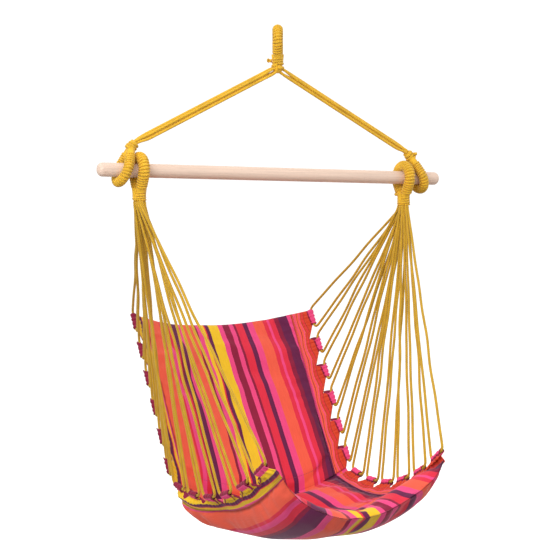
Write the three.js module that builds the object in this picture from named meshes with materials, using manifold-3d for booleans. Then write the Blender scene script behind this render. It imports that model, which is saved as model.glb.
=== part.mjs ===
// Hammock chair. A padded striped sling, in a back panel and a seat panel, hangs by two fans of cords
// from a round wooden bar, and the bar hangs by two short ropes from one whipped eye.
// Millimetres, +Z up. X runs along the bar and the sitter faces -Y.
// The origin is where a hook bears inside the top of the eye.
import * as THREE from "three";
import { mergeVertices } from "three/addons/utils/BufferGeometryUtils.js";
import Module from "manifold-3d";

const wasm = await Module();
wasm.setup();

// Clearances
const GAP = 0.3;
const RUNNING_GAP = 0.5;
const TURN_GAP = 0.8;

// Spreader bar, a beech dowel with rounded ends
const BAR_LENGTH = 850;
const BAR_DIAMETER = 30;
const BAR_END_RADIUS = 11;
const BAR_DROP = 310;

// Cords: the suspension cord, and the cord that every eye and ring is whipped with
const CORD_DIAMETER = 4.6;
const WHIP_DIAMETER = 4.5;

// Hanging eye, a teardrop of rope whose plane is turned about Z
const EYE_CORE_DIAMETER = 13;
const EYE_ARCH_RADIUS = 24;
const EYE_APEX_DROP = 46;
const EYE_TURN_ANGLE = 62.5;
const EYE_NECK_DIAMETER = 17;
const EYE_NECK_LENGTH = 16;
const TAIL_KNOT_DIAMETER = 10;
const TAIL_KNOT_RISE = 1;

// Upper rope, from the eye to the ring at each end of the bar
const UPPER_STRANDS = 4;
const RING_CORE_DIAMETER = 11.5;
const RING_OFFSET = 368;
const RING_LEAN = 21;
const RING_APEX_RISE = 52;
const RING_NECK_DIAMETER = 15.2;
const RING_NECK_LENGTH = 22;

// Loop over the bar that each fan of cords hangs from
const LOOP_CORE_DIAMETER = 14;
const LOOP_OFFSET = 331;
const LOOP_APEX_DROP = 56;
const LOOP_NECK_DROP = 66;

// Sling: the line of tabs down each side, from the top corner through the crease to the front corner
const CREASE_Y = 68;
const CREASE_DROP = 676;
const BACK_LENGTH = 415;
const BACK_RECLINE = 30;
const SEAT_DEPTH = 412;
const SEAT_SIDE_DIP = 14;
const SEAT_SIDE_RISE = 103;
const SEAT_DIP_share = 0.272;
const TOP_HALF_WIDTH = 235;
const CREASE_HALF_WIDTH = 227;
const FRONT_HALF_WIDTH = 206;

// How far the middle of the cloth lies behind and below the line of tabs
const TOP_SAG_BACK = 78;
const TOP_SAG_DOWN = 33;
const CREASE_SAG_BACK = 20;
const CREASE_SAG_DOWN = 64;
const FRONT_SAG_DOWN = 115;

// Padding, covers, margins and tabs
const BACK_PAD_THICKNESS = 24;
const SEAT_PAD_THICKNESS = 40;
const COVER_THICKNESS = 1.5;
const SEAM_WIDTH = 6;
const CREASE_GAP = 5;
const PAD_EDGE_share = 0.8;
const TABS_PER_PANEL = 6;
const TAB_LENGTH = 36;
const TAB_THICKNESS = 10;
const TAB_REACH = 5.6;
const TAB_ROOT = 12;
const PAD_EDGE = 1;
const CORD_BEND_RADIUS = 9.2;
const BACK_FIRST_TAB = 22;
const BACK_LAST_TAB = 35.5;
const SEAT_FIRST_TAB = 36;
const SEAT_LAST_TAB = 18.5;

// Faceting
const TURN_STEPS = 7;
const WHIP_SIDES = 4;
const CORD_SIDES = 6;
const CORE_SIDES = 8;
const ARCH_STEPS = 12;
const BAR_SIDES = 20;
const BAR_END_STEPS = 3;
const NECK_SIDES = 12;
const NECK_STEPS = 4;

// Turns of the whipping cord
const EYE_TURNS = 24;
const THROAT_TURNS = 1;
const THROAT_CLEARANCE = 2.5;
const RING_TURNS = 18;
const RING_LASHING_TURNS = 2;
const LOOP_TURNS = 24;
const LOOP_LASHING_TURNS = 2;

// How the strands lie, as shares of their pitch, and where along the rope their points fall
const LEAVE_share = 0.56;
const RIBBON_STEP_share = 0.82;
const RIBBON_DEPTH_share = 0.31;
const STRAND_shares = [0.1, 0.28, 0.5, 0.74, 0.93];
const NECK_AHEAD_share = 0.62;
const NECK_RISE_share = 1.2;
const OVAL_share = 0.24;
const KNOT_SEAT_share = 0.9;
const LOOP_FLARE_share = 0.55;
const SLING_CURVE_power = 2.2;
const CROWN_power = 6;
const ROOT_share = 0.52;
const TAB_OUTLINE_shares = [[-1, -0.34], [0, -1], [0.75, -0.75], [1, 0], [0.75, 0.75], [0, 1], [-1, 0.34]];
const BEND_shares = [1 / 3, 2 / 3];
const LONGEST_BEND_share = 1.3;
const PACKING_ROWS = 4;
const PACKING_SHIFT_share = 0.2;
const FINE_share = 1e-4;

const radians = THREE.MathUtils.degToRad;
const mix = THREE.MathUtils.lerp;
const vector = (x, y, z) => new THREE.Vector3(x, y, z);
const AXIS_X = vector(1, 0, 0);
const AXIS_Y = vector(0, 1, 0);
const AXIS_Z = vector(0, 0, 1);

// Materials
const finish = (color, roughness) => new THREE.MeshStandardMaterial({ color, roughness, metalness: 0 });
const beech = () => finish("#ebc9ae", 0.6);
const goldCord = () => finish("#dda92c", 0.85);
const stripedCotton = () => finish("#e5445a", 0.9);
const tabCotton = () => finish("#f5488a", 0.9);
const padding = () => finish("#f2efe8", 0.95);

const chair = new THREE.Group();

function add(name, geometry, material, parent = chair) {
  const mesh = new THREE.Mesh(geometry, material);
  mesh.name = name;
  parent.add(mesh);
  return mesh;
}

// Joins and cuts of closed meshes
function solid(geometry) {
  const bare = new THREE.BufferGeometry();
  const plain = geometry.index ? geometry.toNonIndexed() : geometry;
  bare.setAttribute("position", plain.getAttribute("position"));
  const merged = mergeVertices(bare, FINE_share);
  const vertProperties = merged.attributes.position.array;
  const triVerts = new Uint32Array(merged.index.array);
  return new wasm.Manifold(new wasm.Mesh({ numProp: 3, vertProperties, triVerts }));
}

function join(...geometries) {
  const all = geometries.map(solid);
  const mesh = all.slice(1).reduce((sum, next) => sum.add(next), all[0]).getMesh();
  const geometry = new THREE.BufferGeometry();
  geometry.setAttribute("position", new THREE.BufferAttribute(mesh.vertProperties, 3));
  geometry.setIndex(new THREE.BufferAttribute(mesh.triVerts, 1));
  geometry.computeVertexNormals();
  return geometry;
}

// A route whose rings fall exactly on its points, so that a tight bend keeps its own rings
class Route extends THREE.Curve {
  constructor(points) {
    super();
    this.points = points;
  }
  getPoint(t, target = new THREE.Vector3()) {
    const last = this.points.length - 1;
    const place = Math.min(t * last, last);
    const index = Math.min(Math.floor(place + FINE_share), last - 1);
    return target.lerpVectors(this.points[index], this.points[index + 1], place - index);
  }
  getTangent(t, target = new THREE.Vector3()) {
    const last = this.points.length - 1;
    const index = Math.round(t * last);
    const before = this.points[Math.max(index - 1, 0)];
    const here = this.points[index];
    const after = this.points[Math.min(index + 1, last)];
    const into = here.clone().sub(before).normalize();
    const out = after.clone().sub(here).normalize();
    return target.copy(into).add(out).normalize();
  }
  getUtoTmapping(u) {
    return u;
  }
}

// A solid cord or rope core along a list of points
function tube(points, diameter, sides) {
  const section = new THREE.Shape();
  for (let i = 0; i < sides; i += 1) {
    const angle = (2 * Math.PI * i) / sides;
    const place = [(Math.cos(angle) * diameter) / 2, (Math.sin(angle) * diameter) / 2];
    if (i === 0) section.moveTo(...place);
    else section.lineTo(...place);
  }
  section.closePath();
  const extrudePath = new Route(points);
  return new THREE.ExtrudeGeometry(section, { steps: points.length - 1, extrudePath, bevelEnabled: false });
}

// A teardrop in the XZ plane: an arch of the given radius about the origin, open downwards, whose two
// legs run straight down to one apex. Distance is measured along it from the top, negative on the -X side.
class Teardrop {
  constructor(radius, apexDrop) {
    this.radius = radius;
    this.apexDrop = apexDrop;
    this.lean = Math.asin(radius / apexDrop);
    this.archHalf = radius * (Math.PI / 2 + this.lean);
    this.legLength = Math.sqrt(apexDrop * apexDrop - radius * radius);
  }
  // Distance from the top at which the legs still lie the given half distance apart
  distanceAt(halfApart) {
    return this.archHalf + this.legLength - halfApart / Math.sin(this.lean);
  }
  at(distance) {
    const turned = THREE.MathUtils.clamp(distance, -this.archHalf, this.archHalf);
    const angle = turned / this.radius;
    const point = vector(Math.sin(angle) * this.radius, 0, Math.cos(angle) * this.radius);
    const tangent = vector(Math.cos(angle), 0, -Math.sin(angle));
    point.addScaledVector(tangent, distance - turned);
    return { point, tangent, side: AXIS_Y.clone() };
  }
  // Points along it between two distances, close together on the arch only
  points(half) {
    const arch = Array.from({ length: ARCH_STEPS + 1 }, (_, i) => this.archHalf * ((2 * i) / ARCH_STEPS - 1));
    return [-half, ...arch, half].map((distance) => this.at(distance).point);
  }
  // Half width over a leg of the given radius, at a height above the apex
  halfWidth(height, legRadius) {
    return Math.max(height, 0) * Math.tan(this.lean) + legRadius / Math.cos(this.lean);
  }
}

// Half side of the square section that stands for the whipping cord, of the same area as the round cord
const WHIP_HALF = (WHIP_DIAMETER / 4) * Math.sqrt(Math.PI);

// Outer and centre-line radius of a cord wound on a core, clear of the core at the middle of each facet
const windingRadius = (coreRadius) => (coreRadius + GAP) / Math.cos(Math.PI / TURN_STEPS) + WHIP_HALF;
const whippedRadius = (coreRadius) => windingRadius(coreRadius) + WHIP_HALF;

// A cord wound in turns round a line. frame(share) gives point, tangent and side; radii(share) the half
// widths of the turn along and across the side. Each turn is squeezed narrower where the turns crowd.
function winding(name, turns, frame, radii) {
  const steps = turns * TURN_STEPS;
  const centre = (step) => {
    const share = step / steps;
    const { point, tangent, side } = frame(share);
    const [across, along] = radii(share);
    const other = side.clone().cross(tangent);
    const angle = (2 * Math.PI * step) / TURN_STEPS;
    const radial = other.clone().multiplyScalar(Math.cos(angle) * along);
    radial.addScaledVector(side, Math.sin(angle) * across);
    const place = point.clone().addScaledVector(other, Math.cos(angle) * across);
    place.addScaledVector(side, Math.sin(angle) * along);
    return { place, radial: radial.normalize() };
  };
  const apart = (step, other) => centre(step).place.distanceTo(centre(other).place);
  const reach = (step) => {
    const before = step >= TURN_STEPS ? apart(step, step - TURN_STEPS) : Infinity;
    const after = step + TURN_STEPS <= steps ? apart(step, step + TURN_STEPS) : Infinity;
    return Math.min(2 * WHIP_HALF, Math.min(before, after) - TURN_GAP) / 2;
  };
  const rings = [];
  for (let step = 0; step <= steps; step += 1) {
    const { place, radial } = centre(step);
    const after = centre(Math.min(step + 1, steps)).place;
    const heading = after.sub(centre(Math.max(step - 1, 0)).place).normalize();
    rings.push({ place, radial, heading, half: reach(step) });
  }
  const first = rings[0];
  const last = rings[rings.length - 1];
  const start = first.place.clone().addScaledVector(first.heading, -WHIP_DIAMETER);
  const end = last.place.clone().addScaledVector(last.heading, WHIP_DIAMETER);
  rings.unshift({ ...first, place: start });
  rings.push({ ...last, place: end });
  const loops = rings.map(({ place, radial, heading, half }) => {
    const across = heading.clone().cross(radial).normalize();
    const out = across.clone().cross(heading);
    return Array.from({ length: WHIP_SIDES }, (_, i) => {
      const angle = (2 * Math.PI * (i + 0.5)) / WHIP_SIDES;
      const corner = place.clone().addScaledVector(out, Math.cos(angle) * Math.SQRT2 * WHIP_HALF);
      return corner.addScaledVector(across, Math.sin(angle) * Math.SQRT2 * half);
    });
  });
  let least = Infinity;
  for (let i = 0; i < rings.length; i += 1)
    for (let j = i + TURN_STEPS - 2; j < rings.length; j += 1)
      for (const a of loops[i]) for (const b of loops[j]) least = Math.min(least, a.distanceTo(b));
  console.log(`${name}: ${turns} turns, least gap to itself ${least.toFixed(2)} mm`);
  return skin(loops);
}

// Closed solid through a list of loops of points
function skin(loops) {
  const count = loops[0].length;
  const positions = loops.flat().flatMap((p) => [p.x, p.y, p.z]);
  const index = [];
  for (let i = 0; i + 1 < loops.length; i += 1)
    for (let k = 0; k < count; k += 1) {
      const next = (k + 1) % count;
      const a = i * count + k;
      const b = i * count + next;
      index.push(a, b, b + count, a, b + count, a + count);
    }
  const top = (loops.length - 1) * count;
  for (let k = 1; k + 1 < count; k += 1) {
    index.push(0, k + 1, k);
    index.push(top, top + k, top + k + 1);
  }
  const geometry = new THREE.BufferGeometry();
  geometry.setAttribute("position", new THREE.Float32BufferAttribute(positions, 3));
  geometry.setIndex(index);
  geometry.computeVertexNormals();
  return geometry;
}

// Closed slab between an upper and a lower grid of points
function slab(upper, lower) {
  const rows = upper.length;
  const columns = upper[0].length;
  const positions = [...upper.flat(), ...lower.flat()].flatMap((p) => [p.x, p.y, p.z]);
  const under = rows * columns;
  const at = (i, j) => i * columns + j;
  const index = [];
  const quad = (a, b, c, d) => index.push(a, b, c, a, c, d);
  for (let i = 0; i + 1 < rows; i += 1)
    for (let j = 0; j + 1 < columns; j += 1) {
      quad(at(i, j), at(i + 1, j), at(i + 1, j + 1), at(i, j + 1));
      quad(under + at(i, j), under + at(i, j + 1), under + at(i + 1, j + 1), under + at(i + 1, j));
    }
  const rim = [];
  for (let i = 0; i < rows; i += 1) rim.push(at(i, 0));
  for (let j = 1; j < columns; j += 1) rim.push(at(rows - 1, j));
  for (let i = rows - 2; i >= 0; i -= 1) rim.push(at(i, columns - 1));
  for (let j = columns - 2; j > 0; j -= 1) rim.push(at(0, j));
  rim.forEach((a, k) => {
    const b = rim[(k + 1) % rim.length];
    quad(a, a + under, b + under, b);
  });
  const geometry = new THREE.BufferGeometry();
  geometry.setAttribute("position", new THREE.Float32BufferAttribute(positions, 3));
  geometry.setIndex(index);
  geometry.computeVertexNormals();
  return geometry;
}

// Straight winding down the Z axis, from one height to another, over half widths that follow the height
function lashing(name, turns, top, bottom, halfWidths) {
  const frame = (share) => {
    const point = vector(0, 0, mix(top, bottom, share));
    return { point, tangent: AXIS_Z.clone().negate(), side: AXIS_Y.clone() };
  };
  const radii = (share) => halfWidths(mix(top, bottom, share)).map(windingRadius);
  return winding(name, turns, frame, radii);
}

// Whipping all the way round a teardrop, down to where its two legs meet
function whipping(name, turns, drop, coreRadius) {
  const half = drop.distanceAt(whippedRadius(coreRadius) + TURN_GAP / 2);
  const radius = windingRadius(coreRadius);
  const frame = (share) => drop.at(mix(-half, half, share));
  return winding(name, turns, frame, () => [radius, radius]);
}

// Height above the apex at which a lashing can start, just below the whipping of the two legs
function lashingTop(drop, coreRadius) {
  const outer = whippedRadius(coreRadius);
  const legHeight = (outer + TURN_GAP / 2) / Math.tan(drop.lean);
  return legHeight - outer * Math.sin(drop.lean) - WHIP_DIAMETER - TURN_GAP;
}

// Half widths of a turn round two legs side by side, a little deeper than the legs so that it clears them
const ovalOver = (wide, deep) => [wide, mix(deep, wide, OVAL_share)];

// Spreader bar
function makeBar() {
  const half = BAR_LENGTH / 2;
  const radius = BAR_DIAMETER / 2;
  const flat = radius - BAR_END_RADIUS;
  const profile = [new THREE.Vector2(0, -half)];
  for (let i = 0; i <= BAR_END_STEPS; i += 1) {
    const angle = (Math.PI / 2) * (i / BAR_END_STEPS);
    const out = flat + BAR_END_RADIUS * Math.sin(angle);
    profile.push(new THREE.Vector2(out, -half + BAR_END_RADIUS * (1 - Math.cos(angle))));
  }
  const mirrored = profile.map((p) => new THREE.Vector2(p.x, -p.y)).reverse();
  const bar = add("spreader_bar", new THREE.LatheGeometry([...profile, ...mirrored], BAR_SIDES), beech());
  bar.rotation.z = -Math.PI / 2;
  bar.position.z = -BAR_DROP;
}

// Hanging eye: the teardrop with its neck, its whipping, the lashing of its neck and the knot of the tail
const eyeDrop = new Teardrop(EYE_ARCH_RADIUS, EYE_APEX_DROP);
const eyeCentre = whippedRadius(EYE_CORE_DIAMETER / 2) - EYE_ARCH_RADIUS;
const pivotDrop = EYE_APEX_DROP + EYE_NECK_LENGTH;
const pivot = vector(0, 0, eyeCentre - pivotDrop);

function makeEye() {
  const coreRadius = EYE_CORE_DIAMETER / 2;
  const neckRadius = EYE_NECK_DIAMETER / 2;
  const eye = new THREE.Group();
  eye.rotation.z = radians(EYE_TURN_ANGLE);
  eye.position.z = eyeCentre;
  chair.add(eye);

  const legs = tube(eyeDrop.points(eyeDrop.distanceAt(coreRadius / 3)), EYE_CORE_DIAMETER, CORE_SIDES);
  const profile = [new THREE.Vector2(0, -pivotDrop - neckRadius)];
  for (let i = 1; i <= NECK_STEPS; i += 1) {
    const angle = (Math.PI / 2) * (i / NECK_STEPS);
    const height = -pivotDrop - neckRadius * Math.cos(angle);
    profile.push(new THREE.Vector2(neckRadius * Math.sin(angle), height));
  }
  const shoulder = coreRadius * NECK_RISE_share - EYE_APEX_DROP;
  profile.push(new THREE.Vector2(neckRadius, shoulder), new THREE.Vector2(0, shoulder));
  const neck = new THREE.LatheGeometry(profile, NECK_SIDES).rotateX(Math.PI / 2);
  add("eye_core", join(legs, neck), goldCord(), eye);
  add("eye_whipping", whipping("eye_whipping", EYE_TURNS, eyeDrop, coreRadius), goldCord(), eye);

  const throatLength = THROAT_TURNS * (WHIP_DIAMETER + TURN_GAP);
  const throatBottom = -pivotDrop + THROAT_CLEARANCE + WHIP_DIAMETER / 2;
  const throatTop = throatBottom + throatLength;
  const neckTop = -EYE_APEX_DROP + lashingTop(eyeDrop, coreRadius);
  const neckBottom = throatTop + WHIP_DIAMETER + TURN_GAP;
  const widths = (height) => {
    const wide = Math.max(eyeDrop.halfWidth(height + WHIP_HALF + EYE_APEX_DROP, coreRadius), neckRadius);
    return ovalOver(wide, neckRadius);
  };
  const neckTurns = Math.floor((neckTop - neckBottom) / (WHIP_DIAMETER + TURN_GAP));
  const neckWhip = lashing("eye_neck_whipping", neckTurns, neckTop, neckBottom, widths);
  add("eye_neck_whipping", neckWhip, goldCord(), eye);
  const throat = lashing("throat_seizing", THROAT_TURNS, throatTop, throatBottom, () => [neckRadius, neckRadius]);
  add("throat_seizing", throat, goldCord(), eye);

  const knot = add("eye_tail_knot", new THREE.IcosahedronGeometry(TAIL_KNOT_DIAMETER / 2, 1), goldCord(), eye);
  const knotOut = whippedRadius(neckRadius) * KNOT_SEAT_share + GAP + TAIL_KNOT_DIAMETER / 2;
  knot.position.set(0, knotOut, TAIL_KNOT_RISE - EYE_APEX_DROP);
}

// Ring of the upper rope at one end of the bar, and the strands from the eye to it
const ringLean = radians(RING_LEAN);
const ringRope = whippedRadius(RING_CORE_DIAMETER / 2);
const ringRadius = (BAR_DIAMETER / 2 + RUNNING_GAP) / Math.cos(ringLean) + ringRope;
const ringDrop = new Teardrop(ringRadius, RING_APEX_RISE);

function ringPlaces(side) {
  const up = vector(-side * Math.sin(ringLean), 0, Math.cos(ringLean));
  const apex = vector(side * RING_OFFSET, 0, -BAR_DROP).addScaledVector(up, RING_APEX_RISE);
  const rope = pivot.clone().sub(apex).normalize();
  const neck = up.clone().add(rope).normalize();
  const face = apex.clone().addScaledVector(neck, RING_NECK_LENGTH * NECK_AHEAD_share);
  return { up, apex, neck, face };
}

function makeRing(side, hand) {
  const { up, neck } = ringPlaces(side);
  const ring = new THREE.Group();
  const down = up.clone().negate();
  const normal = down.clone().cross(AXIS_Y);
  ring.quaternion.setFromRotationMatrix(new THREE.Matrix4().makeBasis(AXIS_Y, normal, down));
  ring.position.set(side * RING_OFFSET, 0, -BAR_DROP);
  chair.add(ring);

  const coreRadius = RING_CORE_DIAMETER / 2;
  const neckRadius = RING_NECK_DIAMETER / 2;
  const legs = tube(ringDrop.points(ringDrop.distanceAt(coreRadius / 3)), RING_CORE_DIAMETER, CORE_SIDES);
  const block = new THREE.CylinderGeometry(neckRadius, neckRadius, RING_NECK_LENGTH, NECK_SIDES);
  block.rotateX(-Math.PI / 2).translate(0, 0, RING_NECK_LENGTH * (0.5 - NECK_AHEAD_share));
  const turn = new THREE.Quaternion().setFromUnitVectors(
    AXIS_Z.clone().negate(),
    neck.clone().applyQuaternion(ring.quaternion.clone().invert()),
  );
  const toApex = vector(0, 0, -RING_APEX_RISE);
  block.applyQuaternion(turn).translate(...toApex.toArray());
  const core = join(legs, block);
  add(`ring_core_${hand}`, core, goldCord(), ring);
  const whip = whipping(`ring_whipping_${hand}`, RING_TURNS, ringDrop, coreRadius);
  add(`ring_whipping_${hand}`, whip, goldCord(), ring);

  const start = RING_NECK_LENGTH * NECK_AHEAD_share - WHIP_HALF;
  const length = RING_LASHING_TURNS * (WHIP_DIAMETER + TURN_GAP);
  const round = () => [neckRadius, neckRadius];
  const wound = lashing(`ring_lashing_${hand}`, RING_LASHING_TURNS, length - start, -start, round);
  wound.applyQuaternion(turn).translate(...toApex.toArray());
  add(`ring_lashing_${hand}`, wound, goldCord(), ring);
}

// Four strands run from the round end of the eye's neck to the flat end of the ring's neck. They leave and
// arrive two by two, and lie as a flat staggered ribbon in between.
function makeUpperStrands(side, hand) {
  const { neck, face } = ringPlaces(side);
  const run = face.clone().sub(pivot);
  const heading = run.clone().normalize();
  const up = AXIS_Y.clone().cross(heading).multiplyScalar(-side).normalize();
  const faceUp = AXIS_Y.clone().cross(neck).multiplyScalar(side).normalize();
  const pitch = CORD_DIAMETER + RUNNING_GAP;
  const ballRadius = EYE_NECK_DIAMETER / 2 + GAP;
  for (let k = 0; k < UPPER_STRANDS; k += 1) {
    const high = k < UPPER_STRANDS / 2 ? 1 : -1;
    const deep = k % 2 ? -1 : 1;
    const rank = (UPPER_STRANDS - 1) / 2 - k;
    const leave = heading.clone().multiplyScalar(ballRadius);
    leave.addScaledVector(up, high * pitch * LEAVE_share).addScaledVector(AXIS_Y, deep * pitch * LEAVE_share);
    leave.normalize();
    const ribbon = (share) => {
      const place = pivot.clone().addScaledVector(run, share);
      place.addScaledVector(up, rank * pitch * RIBBON_STEP_share);
      return place.addScaledVector(AXIS_Y, deep * pitch * RIBBON_DEPTH_share);
    };
    const arrive = (distance) => {
      const place = face.clone().addScaledVector(neck, GAP + distance);
      place.addScaledVector(faceUp, (high * pitch) / 2);
      return place.addScaledVector(AXIS_Y, (deep * pitch) / 2);
    };
    const points = [
      pivot.clone().addScaledVector(leave, ballRadius),
      pivot.clone().addScaledVector(leave, ballRadius + CORD_DIAMETER),
      ...STRAND_shares.map(ribbon),
      arrive(CORD_DIAMETER),
      arrive(0),
    ];
    add(`upper_strand_${hand}_${k + 1}`, tube(points, CORD_DIAMETER, CORE_SIDES), goldCord());
  }
}

// Where the cords of one fan leave the neck of their loop: the places of a triangular packing nearest to
// its middle, ordered from the back of the chair to its front
const cordPitch = CORD_DIAMETER + GAP;
const cordEnds = 4 * TABS_PER_PANEL;

function fanSlots() {
  const rowPitch = (cordPitch * Math.sqrt(3)) / 2;
  const places = [];
  for (let row = -PACKING_ROWS; row <= PACKING_ROWS; row += 1)
    for (let column = -PACKING_ROWS; column <= PACKING_ROWS; column += 1) {
      const x = cordPitch * (column + (row % 2 ? 0.5 : 0) + PACKING_SHIFT_share);
      places.push(new THREE.Vector2(x, rowPitch * (row + PACKING_SHIFT_share)));
    }
  places.sort((a, b) => a.length() - b.length());
  return places.slice(0, cordEnds).sort((a, b) => b.y - a.y || a.x - b.x);
}

const slots = fanSlots();
const bundleRadius = Math.max(...slots.map((slot) => slot.length())) + CORD_DIAMETER / 2 + GAP;

// Loop over the bar, with the flared neck that its fan of cords comes out of
const loopCoreRadius = LOOP_CORE_DIAMETER / 2;
const loopRadius = BAR_DIAMETER / 2 + RUNNING_GAP + whippedRadius(loopCoreRadius);
const loopDrop = new Teardrop(loopRadius, LOOP_APEX_DROP);

function makeLoop(side, hand) {
  const loop = new THREE.Group();
  loop.position.set(side * LOOP_OFFSET, 0, -BAR_DROP);
  loop.rotation.z = Math.PI / 2;
  chair.add(loop);

  const top = -LOOP_APEX_DROP + lashingTop(loopDrop, loopCoreRadius);
  const bottom = top - LOOP_LASHING_TURNS * (WHIP_DIAMETER + TURN_GAP);
  const clear = bottom - WHIP_DIAMETER / 2 - TURN_GAP;
  const face = -LOOP_NECK_DROP;
  const flared = mix(clear, face, LOOP_FLARE_share);
  const rise = loopCoreRadius * NECK_RISE_share - LOOP_APEX_DROP;
  const outline = [
    [0, face],
    [bundleRadius, face],
    [bundleRadius, flared],
    [loopCoreRadius, clear],
    [loopCoreRadius, rise],
    [0, rise],
  ];
  const neck = new THREE.LatheGeometry(outline.map((p) => new THREE.Vector2(...p)), NECK_SIDES);
  neck.rotateX(Math.PI / 2);
  const half = loopDrop.distanceAt(loopCoreRadius / 3);
  const legs = tube(loopDrop.points(half), LOOP_CORE_DIAMETER, CORE_SIDES);
  add(`loop_core_${hand}`, join(legs, neck), goldCord(), loop);
  const whip = whipping(`loop_whipping_${hand}`, LOOP_TURNS, loopDrop, loopCoreRadius);
  add(`loop_whipping_${hand}`, whip, goldCord(), loop);
  const widths = (height) => {
    const wide = loopDrop.halfWidth(height + WHIP_HALF + LOOP_APEX_DROP, loopCoreRadius);
    return ovalOver(wide, loopCoreRadius);
  };
  const wound = lashing(`loop_lashing_${hand}`, LOOP_LASHING_TURNS, top, bottom, widths);
  add(`loop_lashing_${hand}`, wound, goldCord(), loop);
}

// Shape of the sling. A share of 0 to 1 runs down the back panel or forward along the seat panel, and
// across runs from -1 at the left line of tabs to 1 at the right one.
const creaseZ = -BAR_DROP - CREASE_DROP;
const recline = radians(BACK_RECLINE);

const panels = {
  back: {
    length: BACK_LENGTH,
    thickness: BACK_PAD_THICKNESS,
    firstTab: BACK_FIRST_TAB,
    tabPitch: (BACK_LENGTH - BACK_FIRST_TAB - BACK_LAST_TAB) / (TABS_PER_PANEL - 1),
    crease: 1,
    line(share) {
      const up = BACK_LENGTH * (1 - share);
      const width = mix(TOP_HALF_WIDTH, CREASE_HALF_WIDTH, share);
      return vector(width, CREASE_Y + up * Math.sin(recline), creaseZ + up * Math.cos(recline));
    },
    sag: (share) => [mix(TOP_SAG_BACK, CREASE_SAG_BACK, share), mix(TOP_SAG_DOWN, CREASE_SAG_DOWN, share)],
  },
  seat: {
    length: SEAT_DEPTH,
    thickness: SEAT_PAD_THICKNESS,
    firstTab: SEAT_FIRST_TAB,
    tabPitch: (SEAT_DEPTH - SEAT_FIRST_TAB - SEAT_LAST_TAB) / (TABS_PER_PANEL - 1),
    crease: 0,
    line(share) {
      const before = (SEAT_DIP_share - share) / SEAT_DIP_share;
      const after = (share - SEAT_DIP_share) / (1 - SEAT_DIP_share);
      const rise = before > 0 ? SEAT_SIDE_DIP * before ** 2 : SEAT_SIDE_RISE * after ** 2;
      const width = mix(CREASE_HALF_WIDTH, FRONT_HALF_WIDTH, share);
      return vector(width, CREASE_Y - SEAT_DEPTH * share, creaseZ - SEAT_SIDE_DIP + rise);
    },
    sag: (share) => [CREASE_SAG_BACK * (1 - share), mix(CREASE_SAG_DOWN, FRONT_SAG_DOWN, share ** 2)],
  },
};

function clothPoint(panel, share, across) {
  const edge = panel.line(share);
  const [back, down] = panel.sag(share);
  const sag = 1 - Math.abs(across) ** SLING_CURVE_power;
  return vector(edge.x * across, edge.y + back * sag, edge.z - down * sag);
}

// Directions along the cloth, across it, and out of it towards the sitter
function clothFrame(panel, share, across) {
  const step = FINE_share;
  const along = clothPoint(panel, share + step, across).sub(clothPoint(panel, share - step, across)).normalize();
  const wide = clothPoint(panel, share, across + step).sub(clothPoint(panel, share, across - step)).normalize();
  return { along, wide, out: along.clone().cross(wide).normalize() };
}

function offsetPoint(panel, share, across, lift) {
  return clothPoint(panel, share, across).addScaledVector(clothFrame(panel, share, across).out, lift);
}

// Shares of the panel's length that its seams and padding take
function panelExtent(panel) {
  const seam = SEAM_WIDTH / panel.length;
  const crease = CREASE_GAP / panel.length;
  const start = panel.crease ? 0 : crease;
  const end = panel.crease ? 1 - crease : 1;
  return { start, end, padStart: start + seam, padEnd: end - seam };
}

const seamAcross = (panel) => SEAM_WIDTH / panel.line(0.5).x;

// Half thickness of the padding at shares of its own length and width: a crown with drawn-in sides
function crown(panel, along, across) {
  const lengthways = 1 - Math.abs(2 * along - 1) ** CROWN_power;
  const crossways = 1 - Math.abs(across) ** CROWN_power;
  const full = Math.sqrt(Math.max(lengthways, 0) * Math.max(crossways, 0));
  return mix(PAD_EDGE, panel.thickness / 2, full);
}

const padStation_shares = [0, 0.05, 0.18, 0.38, 0.62, 0.82, 0.95, 1];

// Grid of points at a lift over the cloth. With a seam, one more row lies all round the padding.
function clothGrid(panel, seamed, lift) {
  const { start, end, padStart, padEnd } = panelExtent(panel);
  const rows = padStation_shares.map((share) => ({ place: mix(padStart, padEnd, share), own: share }));
  const columns = padStation_shares.map((share) => ({ place: PAD_EDGE_share * (2 * share - 1), own: 2 * share - 1 }));
  if (seamed) {
    const outer = PAD_EDGE_share + seamAcross(panel);
    rows.unshift({ place: start, seam: true });
    rows.push({ place: end, seam: true });
    columns.unshift({ place: -outer, seam: true });
    columns.push({ place: outer, seam: true });
  }
  return rows.map((row) =>
    columns.map((column) => {
      const height = row.seam || column.seam ? 0 : crown(panel, row.own, column.own);
      return offsetPoint(panel, row.place, column.place, lift(height));
    }),
  );
}

function makePanel(name, upperName, lowerName) {
  const panel = panels[name];
  const near = GAP / 2;
  const over = (height) => (height ? height + GAP : near);
  const fill = slab(clothGrid(panel, false, (h) => h), clothGrid(panel, false, (h) => -h));
  add(`${name}_wadding`, fill, padding());
  const outer = (height) => over(height) + COVER_THICKNESS;
  const upper = slab(clothGrid(panel, true, outer), clothGrid(panel, true, over));
  add(`${name}_${upperName}`, upper, stripedCotton());
  const lower = slab(clothGrid(panel, true, (h) => -over(h)), clothGrid(panel, true, (h) => -outer(h)));
  add(`${name}_${lowerName}`, lower, stripedCotton());
}

// Places of a panel's tabs as shares of its length, from the top down or from the crease forward
const tabShares = (panel) =>
  Array.from({ length: TABS_PER_PANEL }, (_, i) => (panel.firstTab + i * panel.tabPitch) / panel.length);

function tabFrame(panel, share, side) {
  const { along, wide } = clothFrame(panel, share, side);
  const outward = wide.clone().multiplyScalar(side);
  outward.addScaledVector(along, -outward.dot(along)).normalize();
  return { along, outward, place: clothPoint(panel, share, side) };
}

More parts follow.
